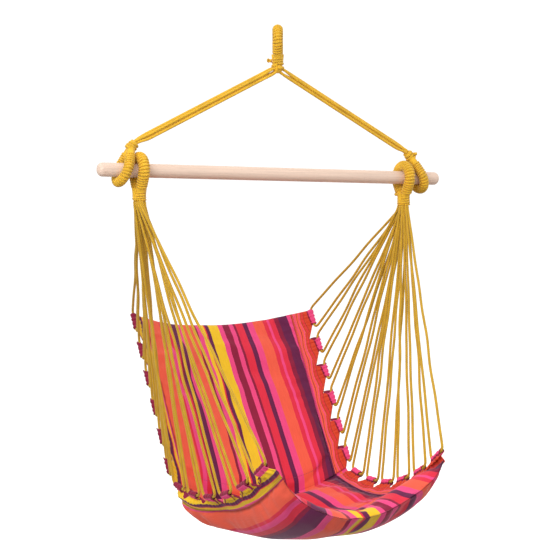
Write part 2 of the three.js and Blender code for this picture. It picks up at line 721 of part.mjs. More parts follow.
// Margin strip of doubled cloth along one side of a panel, with the tab sleeves that its cords run through
function makeMargin(name, side, hand) {
  const panel = panels[name];
  const { start, end, padStart, padEnd } = panelExtent(panel);
  const shares = tabShares(panel);
  const stations = [start, ...padStation_shares.map((share) => mix(padStart, padEnd, share)), end];
  const inner = PAD_EDGE_share + seamAcross(panel) + (2 * GAP) / panel.line(0.5).x;
  const half = COVER_THICKNESS + GAP / 2;
  const grid = (lift) =>
    stations.map((share) => {
      const { outward, place } = tabFrame(panel, share, side);
      const edge = place.addScaledVector(outward, -TAB_ROOT * ROOT_share);
      const out = clothFrame(panel, share, side).out;
      const pair = [offsetPoint(panel, share, side * inner, lift), edge.addScaledVector(out, lift)];
      return side > 0 ? pair : pair.reverse();
    });
  const strip = slab(grid(half), grid(-half));
  const tabs = shares.map((share) => tabSleeve(tabFrame(panel, share, side)));
  add(`${name}_margin_${hand}`, join(strip, ...tabs), tabCotton());
}

function tabSleeve({ along, outward, place }) {
  const half = TAB_THICKNESS / 2;
  const outline = TAB_OUTLINE_shares.map(([reach, height]) => {
    const out = reach < 0 ? reach * TAB_ROOT : reach * TAB_REACH;
    return new THREE.Vector2(out, height * half);
  });
  const shape = new THREE.Shape(outline);
  const bore = (CORD_DIAMETER / 2 + GAP) / Math.cos(Math.PI / CORD_SIDES);
  const hole = Array.from({ length: CORD_SIDES }, (_, i) => {
    const angle = (-2 * Math.PI * i) / CORD_SIDES;
    return new THREE.Vector2(Math.cos(angle) * bore, Math.sin(angle) * bore);
  });
  shape.holes.push(new THREE.Path(hole));
  const sleeve = new THREE.ExtrudeGeometry(shape, { depth: TAB_LENGTH, bevelEnabled: false, steps: 1 });
  sleeve.translate(0, 0, -TAB_LENGTH / 2);
  const across = along.clone().cross(outward);
  const turn = new THREE.Matrix4().makeBasis(outward, across, along);
  return sleeve.applyMatrix4(turn).translate(...place.toArray());
}

// One cord of a fan: down from the neck of the loop, through a tab's sleeve and back up to the neck
function fanCordPoints(side, panel, share, upperSlot, lowerSlot) {
  const { along, place } = tabFrame(panel, share, side);
  const neckZ = -BAR_DROP - LOOP_NECK_DROP - GAP;
  const half = (slot, way) => {
    const start = vector(side * (LOOP_OFFSET + slot.x), slot.y, neckZ);
    const below = start.clone().addScaledVector(AXIS_Z, -cordPitch);
    const mouth = place.clone().addScaledVector(along, (way * TAB_LENGTH) / 2);
    const rough = below.clone().sub(mouth).normalize();
    const turn = Math.PI - rough.angleTo(along.clone().multiplyScalar(-way));
    const reach = Math.min(CORD_BEND_RADIUS * Math.tan(turn / 2), CORD_BEND_RADIUS * LONGEST_BEND_share);
    const corner = mouth.clone().addScaledVector(along, way * reach);
    const leave = corner.clone().addScaledVector(below.clone().sub(corner).normalize(), reach);
    const bend = new THREE.QuadraticBezierCurve3(leave, corner, mouth);
    return [start, below, leave, ...BEND_shares.map((t) => bend.getPoint(t)), mouth];
  };
  return [...half(upperSlot, -1), ...half(lowerSlot, 1).reverse()];
}

function makeFan(side, hand) {
  const tabs = ["back", "seat"].flatMap((name) => tabShares(panels[name]).map((share) => [panels[name], share]));
  tabs.forEach(([panel, share], i) => {
    const points = fanCordPoints(side, panel, share, slots[2 * i], slots[2 * i + 1]);
    const number = String(i + 1).padStart(2, "0");
    add(`fan_cord_${hand}_${number}`, tube(points, CORD_DIAMETER, CORD_SIDES), goldCord());
  });
}

makeBar();
makeEye();
makePanel("back", "cover_front", "cover_rear");
makePanel("seat", "cover_top", "cover_bottom");
for (const [side, hand] of [[-1, "left"], [1, "right"]]) {
  makeRing(side, hand);
  makeUpperStrands(side, hand);
  makeLoop(side, hand);
  makeMargin("back", side, hand);
  makeMargin("seat", side, hand);
  makeFan(side, hand);
}

export default chair;
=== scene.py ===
"""Hammock chair: a padded striped sling hung by two fans of cords from a wooden spreader bar.

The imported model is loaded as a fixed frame. Each operator dresses one group of its pieces. Metres, +Z up,
X along the bar, and the sitter faces -Y. The origin is where a hook bears inside the top of the eye.
"""

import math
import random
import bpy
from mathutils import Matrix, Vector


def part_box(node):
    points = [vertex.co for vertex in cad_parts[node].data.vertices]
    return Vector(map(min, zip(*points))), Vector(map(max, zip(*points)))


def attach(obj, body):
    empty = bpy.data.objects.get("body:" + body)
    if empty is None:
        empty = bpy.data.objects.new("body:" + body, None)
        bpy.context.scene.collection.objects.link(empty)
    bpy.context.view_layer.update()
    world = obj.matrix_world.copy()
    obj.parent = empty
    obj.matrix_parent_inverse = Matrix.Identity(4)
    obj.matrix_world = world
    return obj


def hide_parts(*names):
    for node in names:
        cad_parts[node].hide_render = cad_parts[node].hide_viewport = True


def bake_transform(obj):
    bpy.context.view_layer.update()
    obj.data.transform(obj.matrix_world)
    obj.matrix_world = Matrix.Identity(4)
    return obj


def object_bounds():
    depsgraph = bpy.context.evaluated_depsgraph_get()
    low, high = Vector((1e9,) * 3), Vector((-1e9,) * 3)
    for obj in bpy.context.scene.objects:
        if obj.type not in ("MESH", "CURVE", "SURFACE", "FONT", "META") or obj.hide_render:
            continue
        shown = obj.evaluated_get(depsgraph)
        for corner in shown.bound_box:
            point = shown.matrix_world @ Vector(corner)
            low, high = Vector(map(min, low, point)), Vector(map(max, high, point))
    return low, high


bl_info = {
    "name": "Hammock Chair",
    "version": (1, 0, 0),
    "blender": (4, 5, 0),
    "location": "3D View > Sidebar > Hammock Chair",
    "description": "Dresses the frame of a hammock chair with cords, padding and striped cloth",
    "category": "Object",
}

import bmesh
import bpy
import numpy as np
from mathutils import Matrix, Vector
from mathutils.bvhtree import BVHTree

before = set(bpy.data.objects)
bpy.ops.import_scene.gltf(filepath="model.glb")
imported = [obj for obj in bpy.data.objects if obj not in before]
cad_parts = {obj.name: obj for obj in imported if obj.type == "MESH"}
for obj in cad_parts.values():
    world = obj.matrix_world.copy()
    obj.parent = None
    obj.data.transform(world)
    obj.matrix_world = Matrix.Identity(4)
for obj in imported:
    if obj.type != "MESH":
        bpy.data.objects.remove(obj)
CAD_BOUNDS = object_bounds()
MM = 0.001
SEED = 7

# Spreader bar
BAR_LOW, BAR_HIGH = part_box("spreader_bar")
BAR_RADIUS = (BAR_HIGH.z - BAR_LOW.z) / 2
BAR_Z = (BAR_HIGH.z + BAR_LOW.z) / 2
BAR_END_RADIUS = 11 * MM
BAR_END_STEPS = 8
BAR_STEPS = 56
MERGE_DISTANCE = 0.01 * MM

# Cords and what the eyes and rings are whipped with, as in the frame
CORD_DIAMETER = 4.6 * MM
CORD_FULLNESS = 1.38
WHIP_DIAMETER = 4.5 * MM
WHIP_HALF = WHIP_DIAMETER / 4 * math.sqrt(math.pi)
WHIP_FULLNESS = 0.8 * MM
GAP = 0.3 * MM
RUNNING_GAP = 0.5 * MM
FRAME_TURN_STEPS = 7
TURN_OVERLAP_SHARE = 1.04
WHIPPED_SHARE = 0.92
WHIP_TUCK = 1 * MM
LASHING_TUCK = 1.2 * MM
ROPE_STEP = 3 * MM
KNOB_CORD_RADIUS = 2.3 * MM

# Hanging eye
EYE_CORE_RADIUS = 6.5 * MM
EYE_ARCH_RADIUS = 24 * MM
EYE_APEX_DROP = 46 * MM
EYE_TURN_ANGLE = math.radians(62.5)
EYE_NECK_RADIUS = 8.5 * MM
EYE_NECK_LENGTH = 16 * MM
EYE_NECK_RISE = 15 * MM
EYE_NECK_WIDER = 3 * MM
EYE_NECK_THINNER = 2.6 * MM
EYE_NECK_END_WIDER = 1 * MM
EYE_NECK_END_FULLNESS = 2.5 * MM
THROAT_OVERLAP_SHARE = 0.4
THROAT_RISE = 9 * MM
THROAT_DROP = 1 * MM
THROAT_FLARE = 0.8 * MM
TAIL_KNOT_SIZE = 9 * MM
TAIL_KNOT_CORD_RADIUS = 2.2 * MM
TAIL_RADIUS = 2 * MM
TAIL_POINTS = ((0, 0, 0), (-4 * MM, -3 * MM, 3 * MM), (-8 * MM, -5 * MM, 2 * MM))

# Upper ropes and their rings
STRANDS = 4
RING_CORE_RADIUS = 5.75 * MM
RING_OFFSET = 368 * MM
RING_LEAN = math.radians(21)
RING_APEX_RISE = 52 * MM
RING_NECK_RADIUS = 7.6 * MM
RING_NECK_LENGTH = 22 * MM
RING_NECK_AHEAD = 0.62 * RING_NECK_LENGTH
LEAVE_SHARE = 0.56
RIBBON_STEP_SHARE = 0.82
RIBBON_DEPTH_SHARE = 0.31
STRAND_SHARES = (0.1, 0.28, 0.5, 0.74, 0.93)
STRAND_FAN_STEP = 1.6 * MM
RING_LASHING_PITCH = 6.6 * MM
RING_LASHING_START = 0.5 * MM
RING_LASHING_PAST_APEX = 7 * MM
RING_LASHING_THINNER = 1.5 * MM
RING_LASHING_WIDENING = (3 * MM, 1 * MM)
RING_KNOB_SIZE = 7 * MM
RING_KNOB_PLACE = (7 * MM, -9 * MM, 9 * MM)
RING_KNOB_PAST_APEX = 2 * MM

# Loops over the bar that the fans hang from
LOOP_CORE_RADIUS = 7 * MM
LOOP_OFFSET = 331 * MM
LOOP_APEX_DROP = 56 * MM
LOOP_NECK_DROP = 66 * MM
LOOP_BINDING_RISE = 19 * MM
LOOP_BINDING_END = 3 * MM
LOOP_BINDING_RADII = (19.5 * MM, 12 * MM)
LOOP_BINDING_FULLNESS = 1 * MM
LOOP_KNOB_SIZE = 6.5 * MM
LOOP_KNOB_PLACE = (10 * MM, 13 * MM, -2 * MM)
STUB_LENGTH = 9 * MM

# Sling
CREASE_Y = 68 * MM
CREASE_Z = BAR_Z - 676 * MM
BACK_LENGTH = 415 * MM
RECLINE = math.radians(30)
SEAT_DEPTH = 412 * MM
SEAT_SIDE_DIP = 14 * MM
SEAT_SIDE_RISE = 103 * MM
SEAT_DIP_SHARE = 0.272
TOP_HALF_WIDTH = 235 * MM
CREASE_HALF_WIDTH = 227 * MM
FRONT_HALF_WIDTH = 206 * MM
TOP_SAG = (78 * MM, 33 * MM)
CREASE_SAG = (20 * MM, 64 * MM)
FRONT_SAG_DOWN = 115 * MM
SLING_CURVE_POWER = 2.2
# The seat's sides hang steeper along its middle, and its right front corner is drawn out
BOXED_POWER = 1.0
BOXED_SHARES = (0.1, 0.6, 0.7, 1)
CORNER_OUT = 18 * MM
CORNER_ACROSS_SHARES = (0.35, 0.85, 0.85, 1)
CORNER_SHARES = (0.5, 1)
# The left side of the seat hangs steeper near the backrest, and bulges past its tabs
REAR_POWER = 1.5
REAR_OUT = 25 * MM
REAR_ACROSS_SHARES = (0.4, 0.85)
REAR_TAB_SHARES = (0.9, 1)
REAR_SHARES = (0, 0.12, 0.2, 0.5)
EDGE_FINE = 0.02
CROWN_POWER = 6
SEAM_WIDTH = 6 * MM
CREASE_GAP = 5 * MM
PAD_CREASE_GAP = 3.5 * MM
PAD_EDGE_SHARE = {"back": 0.825, "seat": 0.845}
COVER_LIFT = 1.08 * MM
FRONT_REACH = 12 * MM
RIGHT_REACH = 13 * MM
FRONT_POWER = 14
FRONT_TOP_POWER = 8
FRONT_SEAM_SHARE = 0.5
FRONT_SHARES = (0.75, 1)
SEAM_ANGLE = 0.85
QUILT_DISTANCE = 31 * MM
QUILT_DEPTH = 2.4 * MM
QUILT_WIDTH = 4 * MM
THREAD_PITCH = 1.6 * MM

# Grids of the cushions. The seam stands out past the crown, by these shares of a half width
CUSHION_ROWS = 60
CUSHION_COLUMNS = 58
SEAM_PLACES = (1.01, 1.02)
SEAM_SHARPNESS = 0.8
CORNER_REACH_SHARES = ((0.2, 1), (0.8, 1))
# How the front of the seat is pressed flat, above its seam and below it
FRONT_PRESSED = (0.3, 0.6)

# Filling of the cushions: one step of the cloth simulation is one frame
FILL_STEPS = 16
FILL_REACH = 6 * MM
CLOTH_SETTINGS = {
    "quality": 5, "mass": 0.4, "tension_stiffness": 18, "compression_stiffness": 18, "bending_stiffness": 0.6,
    "use_pressure": True, "uniform_pressure_force": 2.2, "shrink_min": -0.035, "vertex_group_mass": "held",
}
# Puckers beside the sewn sides: the distance between two, and their height
PUCKERS = ((17 * MM, 0.7 * MM), (11 * MM, 0.49 * MM), (29 * MM, 0.84 * MM))
PUCKER_DRIFT = 41 * MM
PUCKER_REACH = 0.16
RUMPLES = 7
RUMPLE_HEIGHT = 0.32 * MM
RUMPLE_LENGTHS = (60 * MM, 130 * MM)
# How much painted shade the rings of vertices get beside the seams, counted from the ends and from the sides
END_SEAM_SHADES = (1, 0.85, 0.4, 0.1, 0)
SIDE_SEAM_SHADES = (0, 0, 0.8, 0.7, 0.25, 0)

# Margins
MARGIN_WIDTH = 38 * MM
MARGIN_STEP = 1.6 * MM
MARGIN_ROWS = 18
MARGIN_THICKNESS = 0.9 * MM
MARGIN_OVERLAP = 2 * MM
MOUTH_DIP = {"back": 5.5 * MM, "seat": -4.5 * MM}
MOUTH_LENGTH = 6 * MM
NOTCH_DEPTH = 15 * MM
NOTCH_ROOT = {"back": 4 * MM, "seat": 6 * MM}
SAWTOOTH_SHARE = 0.92
TAB_SLEEVE_ROOT = 8 * MM
TAB_SLANT = {"back": 2.6 * MM, "seat": 0}
PLEAT_SHARE = {"back": 0.5, "seat": 1}
PLEAT_POWER = 1.4
GATHERS = 3.5
FINE_GATHERS = 11
UNEVEN = (0.75, 1.2)
SCALLOP = 2.5 * MM
FRONT_FLARE = 34 * MM
FRONT_BOW = 9 * MM
LEFT_BULGE = 17 * MM
# Round the cord and back under the strip: outward, and out of the cloth
SLEEVE_MM = (
    (-4, 4.2), (-1, 5.0), (2.4, 4.6), (4.8, 2.6), (5.4, 0), (4.8, -2.6), (2.4, -4.6), (-1, -5.0),
    (-4, -4.2), (-8, -2.4), (-13, -1.6), (-18, -1.5),
)
SLEEVE_TOP = 4
SLEEVE_PLUMP = 0.26
MOUTH_SAG = 2.4 * MM
# A hem's round edge, how far it slants in, and half its thickness
HEM_ROUND, HEM_SLANT, HEM_HALF = 1.2 * MM, 5 * MM, 1.1 * MM
# How far each of its rows dips at the mouth: the sitter's side does, and the back's other side stands up
MOUTH_SHARES = {"back": (1, 1, 0.4, 0.4, 0, -0.85), "seat": (1, 1, 0.4, 0.4, 0, 0)}

# Cloth in the crease, by the distance of its rows in front of the fold
CREASE_ROWS = (-20 * MM, -12 * MM, -6 * MM, 0, 6 * MM, 12 * MM, 20 * MM)
CREASE_THICKNESS = 1 * MM
CREASE_ACROSS = 0.965
CREASE_COLUMNS = 110
CREASE_SINK = 2.4 * MM
FOLD_SINK = 4 * MM
CREASE_BLEND = 12 * MM

# Stitching
STITCHED_ACROSS = 0.76
STITCHED_INSET = 0.01
SEAM_POINTS = 90
STITCH_LIFT = 1.6 * MM
STITCH_SHARE = 0.36
STITCH_RADII = (0.6 * MM, 0.5 * MM)

# Tabs, and the cords through them
TABS = 6
TAB_LENGTH = 36 * MM
TAB_PITCH = 71.5 * MM
BEND_RADIUS = 9.2 * MM
LONGEST_BEND_SHARE = 1.3
PACKING_ROWS = 4
PACKING_SHIFT = 0.2
FAN_STEP = 2.6 * MM
RIPPLE_LENGTHS = (150 * MM, 240 * MM)
RIPPLE_SHARES = (0.3, 0.6)

FINE = 1e-4
HANDS = ((-1, "left"), (1, "right"))
AXIS_X, AXIS_Y, AXIS_Z = np.eye(3)
WHITE = (1, 1, 1)

# Stripes of the padding's cover from left to right: the colour, and where it ends as a share of half width
PAD_STRIPES = (
    ("yellow", -0.84), ("pink", -0.826), ("orange", -0.64), ("red", -0.61), ("pink", -0.575),
    ("red", -0.53), ("plum", -0.5), ("purple", -0.43), ("pink", -0.37), ("orange", -0.22),
    ("plum", -0.195), ("pink", -0.135), ("yellow", -0.1), ("red", -0.085), ("purple", -0.04),
    ("yellow", 0.067), ("pink", 0.12), ("plum", 0.19), ("pink", 0.24), ("plum", 0.263),
    ("red", 0.337), ("purple", 0.383), ("pink", 0.451), ("orange", 0.554), ("red", 0.586),
    ("pink", 0.617), ("red", 0.658), ("plum", 0.703), ("purple", 0.778), ("pink", 0.812),
    ("orange", 0.83), ("pink", 1.0),
)

# Stripes of the side margins: the colour, and how far from the cord it ends, inwards on the sitter's side.
# Lower values code the other side, which starts at OUTER_CODE on top of the sleeve, and the hems.
# The first code picks the dark plum stripe as painted shade inside a sleeve where it gapes at its mouth
MOUTH_SHADE_CODE = -44 * MM
HEM_CODE = -42 * MM
OUTER_CODE = -38 * MM
MARGIN_STRIPES = {
    "left": (
        ("plum", -34 * MM), ("pink", -23 * MM), ("yellow", -10 * MM), ("plum", 7 * MM), ("yellow", 23 * MM),
        ("purple", 33 * MM), ("red", 35.5 * MM), ("yellow", 45 * MM), ("pink", 48 * MM), ("orange", 1.0),
    ),
    "right": (
        ("plum", -43 * MM), ("brick", -41 * MM), ("plum", -35 * MM), ("pink", -24 * MM), ("brick", -10 * MM),
        ("pink", 5 * MM), ("plum", 8.5 * MM), ("brick", 19 * MM), ("plum", 19.8 * MM), ("brick", 22 * MM),
        ("red", 24 * MM), ("brick", 27 * MM), ("plum", 28 * MM), ("orange", 30 * MM), ("pink", 32 * MM),
        ("orange", 37 * MM), ("plum", 38 * MM), ("orange", 41 * MM), ("pink", 43 * MM), ("orange", 50 * MM),
        ("pink", 1.0),
    ),
}
MARGIN_CODES = (-45 * MM, 65 * MM)

# How far the stripes run askew, as shares of the half width
BACK_DRIFT = (0.033, 0.05)
# At the seat's front: places across the cloth, and how far the stripes there have moved
FRONT_PLACES = (-0.87, -0.7, -0.52, -0.36, -0.1, 0.12, 0.55, 0.7, 0.87)
FRONT_DRIFTS = (0.01, 0.055, 0.02, -0.07, -0.09, -0.15, -0.158, -0.114, -0.092)

# Camera of the photograph, in the frame of the object
VIEW_AZIMUTH = math.radians(-27.56)
CAMERA_PLACE = (-1.498, -2.870, -0.479)
CAMERA_LENS = 95.2
CAMERA_SHIFT = (-0.0047, -0.0451)
# Lamps: the name, the place, the size and the power
LAMPS = (
    ("key", (-1.9, -2.1, 1.2), 2.2, 54),
    ("front", (-2.5, -1.3, -0.3), 1.8, 20),
    ("fill", (2.4, -1.6, 0.2), 2.4, 17),
    ("back", (0.6, 2.6, 0.9), 2.2, 22),
)
LAMP_AIM = Vector((0, 0, -0.7))
FLOOR_BELOW = 0.35
FLOOR_HALF_SIZE = 20


def hex_to_linear(code):
    """Turns an sRGB hex colour into linear red, green and blue."""
    values = [int(code[i : i + 2], 16) / 255 for i in (1, 3, 5)]
    return [v / 12.92 if v <= 0.04045 else ((v + 0.055) / 1.055) ** 2.4 for v in values]


def colour_property(name, description, code):
    return bpy.props.FloatVectorProperty(
        name=name, description=description, subtype="COLOR", size=3, min=0, max=1, default=hex_to_linear(code)
    )


def length_property(name, description, default, low, high):
    return bpy.props.FloatProperty(
        name=name, description=description, default=default, min=low, max=high, unit="LENGTH"
    )


class HammockSizes(bpy.types.PropertyGroup):
    """Sizes that the looks can be changed by."""

    whip_pitch: length_property(
        "Whipping Pitch", "Distance between turns of the whipping cord", 5.4 * MM, 4 * MM, 9 * MM
    )
    cord_lay: length_property(
        "Cord Lay", "Length of one full twist of a cord's plies", 15 * MM, 8 * MM, 40 * MM
    )
    cord_wave: length_property(
        "Cord Wave", "How far a cord strays from a straight line", 1.9 * MM, 0, 5 * MM
    )
    pleat_depth: length_property("Pleat Depth", "Height of the gathers beside a tab", 3.8 * MM, 0, 6 * MM)
    back_thickness: length_property(
        "Back Padding", "Thickness of the padding of the back", 24 * MM, 8 * MM, 40 * MM
    )
    seat_thickness: length_property(
        "Seat Padding", "Thickness of the padding of the seat", 40 * MM, 8 * MM, 50 * MM
    )
    stitch_pitch: length_property(
        "Stitch Pitch", "Distance between the stitches of a seam", 4.5 * MM, 2 * MM, 10 * MM
    )


class HammockColours(bpy.types.PropertyGroup):
    """Colours of the cloth, the cords and the wood."""

    yellow: colour_property("Yellow", "Yellow stripes", "#F5C92B")
    orange: colour_property("Orange", "Orange stripes", "#F4624A")
    pink: colour_property("Pink", "Pink stripes and tabs", "#F04D87")
    red: colour_property("Red", "Red stripes", "#E23349")
    brick: colour_property("Brick", "Ground of the right margin", "#D9482D")
    plum: colour_property("Plum", "Dark red stripes", "#8C2240")
    purple: colour_property("Purple", "Dark violet stripes", "#66234C")
    cord: colour_property("Cord", "Cotton cords", "#EFBB2E")
    wood: colour_property("Wood", "Beech of the bar", "#E9CCB8")
    stage: colour_property("Stage", "Floor", "#F2F2F0")


def add_node(tree, kind, inputs=None, **settings):
    """Adds a node with its settings. An input is given a value, or the output socket that it is linked to."""
    node = tree.nodes.new(kind)
    for name, value in settings.items():
        setattr(node, name, value)
    for name, value in (inputs or {}).items():
        if isinstance(value, bpy.types.NodeSocket):
            tree.links.new(value, node.inputs[name])
        else:
            node.inputs[name].default_value = value
    return node


def new_material(name):
    """A material with an empty tree, its principled shader and its output."""
    material = bpy.data.materials.new(name)
    material.use_nodes = True
    tree = material.node_tree
    tree.nodes.clear()
    shader = add_node(tree, "ShaderNodeBsdfPrincipled")
    add_node(tree, "ShaderNodeOutputMaterial", {"Surface": shader.outputs["BSDF"]})
    return material, tree, shader


def tone(colour, share=1.0):
    """A linear colour made darker or lighter, as a node takes it."""
    return (*(min(1.0, c * share) for c in colour), 1.0)


def mixed(tree, factor, first, second, blend_type="MIX"):
    """The colour output of a colour mix node."""
    mix = add_node(tree, "ShaderNodeMix", data_type="RGBA", blend_type=blend_type)
    for index, value in ((0, factor), (6, first), (7, second)):
        if isinstance(value, bpy.types.NodeSocket):
            tree.links.new(value, mix.inputs[index])
        else:
            mix.inputs[index].default_value = value
    return mix.outputs[2]


def mapped(tree, vector, scale):
    return add_node(tree, "ShaderNodeMapping", {"Vector": vector, "Scale": scale}).outputs[0]


def noise(tree, vector, scale=1.0, detail=2.0, roughness=0.5):
    values = {"Vector": vector, "Scale": scale, "Detail": detail, "Roughness": roughness}
    return add_node(tree, "ShaderNodeTexNoise", values).outputs[0]


def ranged(tree, value, low, high, start=0.0, end=1.0):
    """The value from low to high turned into start to end, and held beyond them."""
    values = {"Value": value, "From Min": low, "From Max": high, "To Min": start, "To Max": end}
    return add_node(tree, "ShaderNodeMapRange", values).outputs[0]


def worked_out(tree, operation, *values):
    return add_node(tree, "ShaderNodeMath", dict(enumerate(values)), operation=operation).outputs[0]


def two_tone(tree, value, low, dark, high, light):
    """A ramp from one colour to another."""
    ramp = add_node(tree, "ShaderNodeValToRGB", {"Fac": value})
    for index, (position, colour) in enumerate(((low, dark), (high, light))):
        ramp.color_ramp.elements[index].position = position
        ramp.color_ramp.elements[index].color = colour
    return ramp.outputs[0]


def complete(tree, shader, colour, constants, height=None, strength=0.0, distance=0.0):
    """Gives the shader its colour, its constant values and its bump."""
    tree.links.new(colour, shader.inputs["Base Color"])
    for name, value in constants.items():
        shader.inputs[name].default_value = value
    if height is not None:
        values = {"Height": height, "Strength": strength, "Distance": distance}
        tree.links.new(add_node(tree, "ShaderNodeBump", values).outputs[0], shader.inputs["Normal"])


def beech_material(wood):
    """Sanded, unvarnished beech: pale pink brown and matt, with faint grain and short ray flecks."""
    material, tree, shader = new_material("sanded_beech")
    place = add_node(tree, "ShaderNodeTexCoord").outputs["Object"]
    # Grain lines run along X, about 3 mm apart round the bar
    grain = noise(tree, mapped(tree, place, (6, 330, 330)), detail=6.0, roughness=0.6)
    # Ray flecks are about 1 mm wide and 6 mm long
    fleck = noise(tree, mapped(tree, place, (160, 1000, 1000)))
    cloud = noise(tree, place, 9.0)
    base = two_tone(tree, grain, 0.3, tone(wood, 0.8), 0.66, tone(wood, 1.06))
    flecked = mixed(tree, ranged(tree, fleck, 0.6, 0.72), base, tone(wood, 0.78))
    shade = mixed(tree, ranged(tree, cloud, 0.3, 0.7, end=0.3), flecked, tone(wood, 0.9))
    complete(tree, shader, shade, {"Roughness": 0.55, "IOR": 1.5}, grain, 0.25, 0.2 * MM)
    return material


def cord_material(cotton, name, depth):
    """Plied cotton cord dyed mustard yellow: matt and slightly hairy, with painted shade where its plies
    meet. depth is how dark that painted shade between the plies is; it also darkens the whole colour as
    painted shade."""
    material, tree, shader = new_material(name)
    # Painted shade: a larger depth darkens the whole colour of the cord
    shade_darkened_cotton = [c * (1 - 0.42 * depth) for c in cotton]
    uv = add_node(tree, "ShaderNodeUVMap", uv_map="lay").outputs[0]
    place = add_node(tree, "ShaderNodeTexCoord").outputs["Object"]
    # U runs round the cord once, so a wave of three bands follows the three plies
    plies = add_node(tree, "ShaderNodeSeparateXYZ", {"Vector": mapped(tree, uv, (3.0, 0.0, 0.0))})
    angle = worked_out(tree, "MULTIPLY", plies.outputs["X"], 2 * math.pi)
    groove = worked_out(tree, "COSINE", angle)
    # Painted shade: the grooves between the plies are darkened, more for a larger depth
    dark = ranged(tree, groove, -1.0, -0.3, min(0.9, 0.3 + 0.6 * depth), 0.0)
    # Yarns are about 0.6 mm thick and lie along the plies
    yarn = noise(tree, mapped(tree, uv, (22.0, 260.0, 1.0)), detail=3.0)
    dye = noise(tree, place, 40.0, 3.0)
    dyed = two_tone(tree, dye, 0.3, tone(shade_darkened_cotton, 0.86), 0.7, tone(shade_darkened_cotton, 1.1))
    threads = mixed(tree, ranged(tree, yarn, 0.35, 0.65, end=0.2), dyed, tone(shade_darkened_cotton, 0.68))
    shade = mixed(tree, dark, threads, tone(shade_darkened_cotton, 0.5))
    constants = {
        "Roughness": 0.85, "Specular IOR Level": 0.25, "Sheen Weight": 0.25, "Sheen Roughness": 0.5
    }
    complete(tree, shader, shade, constants, yarn, 0.6, 0.3 * MM)
    return material


def stripe_ramp(tree, value, stripes, low, high, colours):
    """The colour of the stripe at a value of 0 to 1, which stands for low to high."""
    ramp = add_node(tree, "ShaderNodeValToRGB", {"Fac": value})
    ramp.color_ramp.interpolation = "CONSTANT"
    elements = ramp.color_ramp.elements
    elements.remove(elements[1])
    start = low
    for index, (colour, end) in enumerate(stripes):
        share = max(0.0, min(1.0, (start - low) / (high - low)))
        element = elements.new(share) if index else elements[0]
        element.position = share
        element.color = tone(getattr(colours, colour))
        start = end
    return ramp.outputs[0]


def striped_material(name, stripes, low, high, width, colours):
    """Plain-woven striped cotton. U of the map "weave" crosses the stripes from low to high, width metres
    wide, and V is the distance along them in metres. The threads are drawn 1.6 mm apart so that they show."""
    material, tree, shader = new_material(name)
    uv = add_node(tree, "ShaderNodeUVMap", uv_map="weave").outputs[0]
    place = add_node(tree, "ShaderNodeTexCoord").outputs["Object"]
    metres = mapped(tree, uv, (width, 1.0, 1.0))
    # Each weft thread ends a stripe a little earlier or later
    jitter = noise(tree, mapped(tree, metres, (30.0, 700.0, 1.0)), detail=1.0)
    reach = 0.9 * MM / width
    across = add_node(tree, "ShaderNodeSeparateXYZ", {"Vector": uv}).outputs["X"]
    moved = worked_out(tree, "ADD", across, ranged(tree, jitter, 0.0, 1.0, -reach, reach))
    stripe = stripe_ramp(tree, moved, stripes, low, high, colours)
    # Slubs run along the stripes, and the weave shows a little of the darker weft
    slub = noise(tree, mapped(tree, metres, (900.0, 45.0, 1.0)))
    darker = mixed(tree, 1.0, stripe, (0.62, 0.5, 0.56, 1.0), "MULTIPLY")
    slubbed = mixed(tree, ranged(tree, slub, 0.35, 0.75, end=0.3), stripe, darker)
    fade = ranged(tree, noise(tree, place, 12.0, 3.0), 0.35, 0.7, end=0.16)
    faded = mixed(tree, fade, slubbed, (1.0, 0.86, 0.8, 1.0), "SOFT_LIGHT")
    wave = {"Vector": metres, "Scale": math.pi / 10 / THREAD_PITCH}
    warp, weft = (
        add_node(tree, "ShaderNodeTexWave", wave, bands_direction=way).outputs["Fac"] for way in "XY"
    )
    cross = worked_out(tree, "MULTIPLY", warp, weft)
    woven = mixed(tree, ranged(tree, cross, 0.0, 0.5, 0.2, 0.0), faded, darker)
    # Painted shade darkens the cloth along the seams, by a vertex attribute
    groove = add_node(tree, "ShaderNodeAttribute", attribute_name="groove").outputs["Fac"]
    shaded = mixed(tree, 1.0, woven, (0.22, 0.14, 0.2, 1.0), "MULTIPLY")
    shade = mixed(tree, groove, woven, shaded)
    constants = {"Roughness": 0.9, "Specular IOR Level": 0.2, "Sheen Weight": 0.2, "Sheen Roughness": 0.4}
    height = worked_out(tree, "ADD", cross, slub)
    complete(tree, shader, shade, constants, height, 0.35, 0.3 * MM)
    return material


def thread_material(plum):
    """Polyester sewing thread in dark plum, slightly glossy."""
    material, tree, shader = new_material("sewing_thread")
    place = add_node(tree, "ShaderNodeTexCoord").outputs["Object"]
    fleck = noise(tree, place, 400.0, 1.0)
    shade = mixed(tree, fleck, tone(plum, 0.7), tone(plum, 1.1))
    complete(tree, shader, shade, {"Roughness": 0.5, "Sheen Weight": 0.2})
    return material


def finished(name, mesh, body, material, stands_for=()):
    """Links a mesh as a piece that rides on a body, takes a material slot and stands for frame nodes."""
    piece = bpy.data.objects.new(name, mesh)
    bpy.context.scene.collection.objects.link(piece)
    mesh.materials.clear()
    mesh.materials.append(material)
    for face in mesh.polygons:
        face.use_smooth = True
    if body:
        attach(piece, body)
    if stands_for:
        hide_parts(*stands_for)
    return piece


# depth sets the painted shade of a cord material, between its plies and over its whole colour
def cord_finish(context, name="plied_cotton_cord", depth=0.05):
    cotton = context.scene.hammock_colours.cord
    return bpy.data.materials.get(name) or cord_material(cotton, name, depth)


def pad_finish(context):
    name, colours = "striped_cotton", context.scene.hammock_colours
    made = bpy.data.materials.get(name)
    return made or striped_material(name, PAD_STRIPES, -1.0, 1.0, 2 * CREASE_HALF_WIDTH, colours)


def subdivided(piece):
    finish = piece.modifiers.new("smooth", "SUBSURF")
    finish.levels = finish.render_levels = 1


